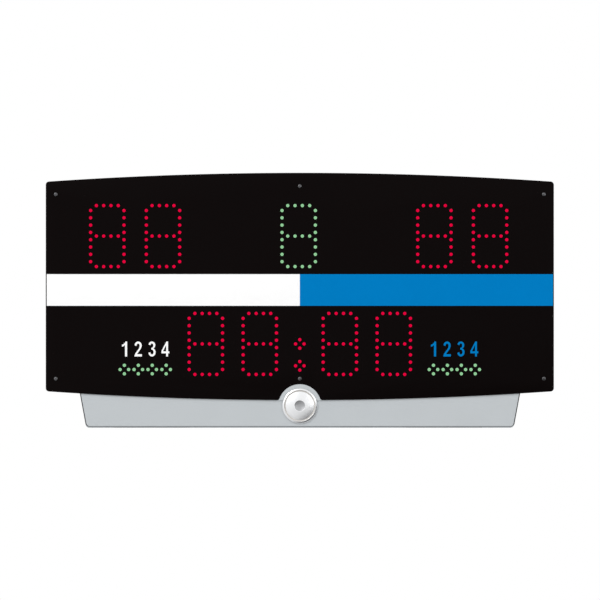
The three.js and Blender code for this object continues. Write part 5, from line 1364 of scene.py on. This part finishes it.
def make_pads():
    """Rubber feet that keep the board off the wall, dished at the rear."""
    profile = [(0, 0.6), (6, 0.5), (10, 0.2), (12.6, 0), (14, 0.3), (14.8, 1.1), (15, 2.2),
               (15, 15.8), (14.7, 17), (13.8, 17.8), (12.5, 18), (0, 18)]
    pad = turned_piece("wall_pad", profile, steps=48)
    for node, x in (("lower_pad_left", -PAD_X), ("lower_pad_right", PAD_X)):
        foot = move_mesh(copy_piece(pad, node + "_foot"), x, 0, PAD_HEIGHT)
        hand_over(smooth(foot), "rubber_black", replaced=[node])
    scrap(pad)


# Fittings in the two bays

def make_knob():
    """Ribbed selector with a pointer groove that looks to the front."""
    profile = [(0, 9.9), (6.3, 9.9), (7.2, 10.3), (7.6, 11.0), (7.6, 18.4), (7.9, 18.9),
               (7.9, 19.3), (3, 19.3), (3, 29.3), (0, 29.3)]
    knob = turned_piece("selector_knob", profile, KNOB_FACETS, upright=True)

    def in_a_flute(middle, normal):
        turn = math.atan2(middle.y, middle.x) / (2 * math.pi)
        sunk = round(turn * KNOB_FACETS - 0.5) % 3 != 0
        return sunk and abs(normal.z) < 0.1 and KNOB_GRIP[0] < middle.z * 1000 < KNOB_GRIP[1]

    open_mesh(knob)
    mark_faces(knob, in_a_flute)
    inset_faces(inward=0.1, outward=0.3)
    close_mesh()
    cut_away(knob, block("groove", -0.7, 0.7, 0, 9, ORIGIN_HEIGHT + 9, ORIGIN_HEIGHT + 10.7))
    move_mesh(knob, KNOB_X, BAY_MIDDLE, 0)
    hand_over(smooth(knob), "plastic_black", "address_knob", ["address_knob"])


def make_button():
    profile = [(0, 12.3), (3.4, 12.2), (4.4, 12.5), (4.9, 13.2), (5, 14), (5, 16.65),
               (2.2, 16.65), (2.2, 22.35), (3.4, 22.35), (3.4, 27), (0, 27)]
    button = turned_piece("test_push", profile, steps=40, upright=True)
    move_mesh(button, BUTTON_X, BAY_MIDDLE, 0)
    hand_over(smooth(button), "plastic_red", "test_button", ["test_button"])


# Edges of the carried-over shapes

# Left, right, rear, front, foot and top of two small slots
COIN_SLOT = (335.8, 344.2, 65.4, 66.6, -OVERRUN, 0.6)
FINGER_NOTCH = (-406, -398, 49.6, 51.4, 15, 16.4)


def own_cutters(node):
    """Small cuts that only some of the carried-over shapes get."""
    if node == "wall_rail":
        return [depth_bar("wall_screw_hole", x, RAIL_SCREW_HEIGHT, RAIL_SCREW_BORE,
                          -OVERRUN, front=4, sides=24) for x in RAIL_SCREW_XS]
    if node == "door_latch":
        return [block("coin_slot", *COIN_SLOT)]
    if node == "fuse_drawer":
        return [block("finger_notch", *FINGER_NOTCH)]
    return []


def eased_copy(node, name, width, finish):
    """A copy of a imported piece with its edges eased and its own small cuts."""
    piece = copy_piece(nodes[node], name)
    open_mesh(piece)
    bpy.ops.mesh.select_all(action="SELECT")
    bpy.ops.mesh.remove_doubles(threshold=0.00002)
    bpy.ops.mesh.dissolve_limited(angle_limit=math.radians(1))
    close_mesh()
    ease_edges(piece, width)
    cut_away(piece, *own_cutters(node))
    return hand_over(smooth(piece, angle=40), finish, nodes[node]["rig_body"], [node])


# Name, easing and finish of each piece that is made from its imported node
EASED = {
    "power_bay": ("power_bay_cup", 0.5, "plastic_grey"),
    "power_inlet": ("power_inlet_unit", 0.4, "plastic_black"),
    "fuse_drawer": ("fuse_drawer_front", 0.4, "plastic_black"),
    "power_rocker": ("power_rocker_key", 0.5, "plastic_red"),
    "console_socket": ("console_socket_unit", 0.3, "plastic_black"),
    "socket_cap": ("socket_cap_flap", 0.4, "rubber_black"),
    "service_bay": ("service_bay_cup", 0.5, "plastic_grey"),
    "service_door": ("service_door_leaf", 0.5, "chin_grey"),
    "door_latch": ("door_latch_turn_button", 0.25, "plastic_black"),
    "wall_rail": ("wall_rail_section", 0.4, "aluminium_plain"),
    "case_cleat": ("case_cleat_section", 0.4, "aluminium_plain"),
    "chin_cover": ("chin_cover_plate", 0.4, "chin_grey"),
}


def make_inlet_pins():
    """Three plated blades over the pins of the mains inlet."""
    blades = []
    for x in INLET_PIN_XS:
        blade = block("blade", x - INLET_PIN_HALF, x + INLET_PIN_HALF,
                      *INLET_PIN_DEPTHS, *INLET_PIN_HEIGHTS)
        open_mesh(blade)
        mark_faces(blade, lambda middle, normal: normal.z < -0.5)
        inset_faces(inward=0.5, outward=0.8)
        close_mesh()
        blades.append(blade)
    pins = gather(*blades)
    pins.name = pins.data.name = "mains_inlet_pins"
    hand_over(smooth(pins), "screw_steel")


def finish_carried_nodes():
    """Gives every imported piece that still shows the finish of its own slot."""
    slots = {part["node"]: part.get("material_slot") for part in frame["record"]["subparts"]}
    for name, packed in nodes.items():
        packed.data.materials.clear()
        packed.data.materials.append(finishes[slots[name]])


set_camera()
set_light()
lay_floor()
hang_flag()
finish_carried_nodes()
make_front_panel()
make_strips()
make_screws()
make_numerals()
lens_shape = make_lens_shape()
for module in MODULES:
    make_module(lens_shape, *module)
scrap(lens_shape)
make_chin_housing()
make_case()
make_horn()
make_collar()
make_pads()
make_knob()
make_button()
for node_name, (piece_name, edge_width, edge_finish) in EASED.items():
    eased_copy(node_name, piece_name, edge_width, edge_finish)
make_inlet_pins()

take()
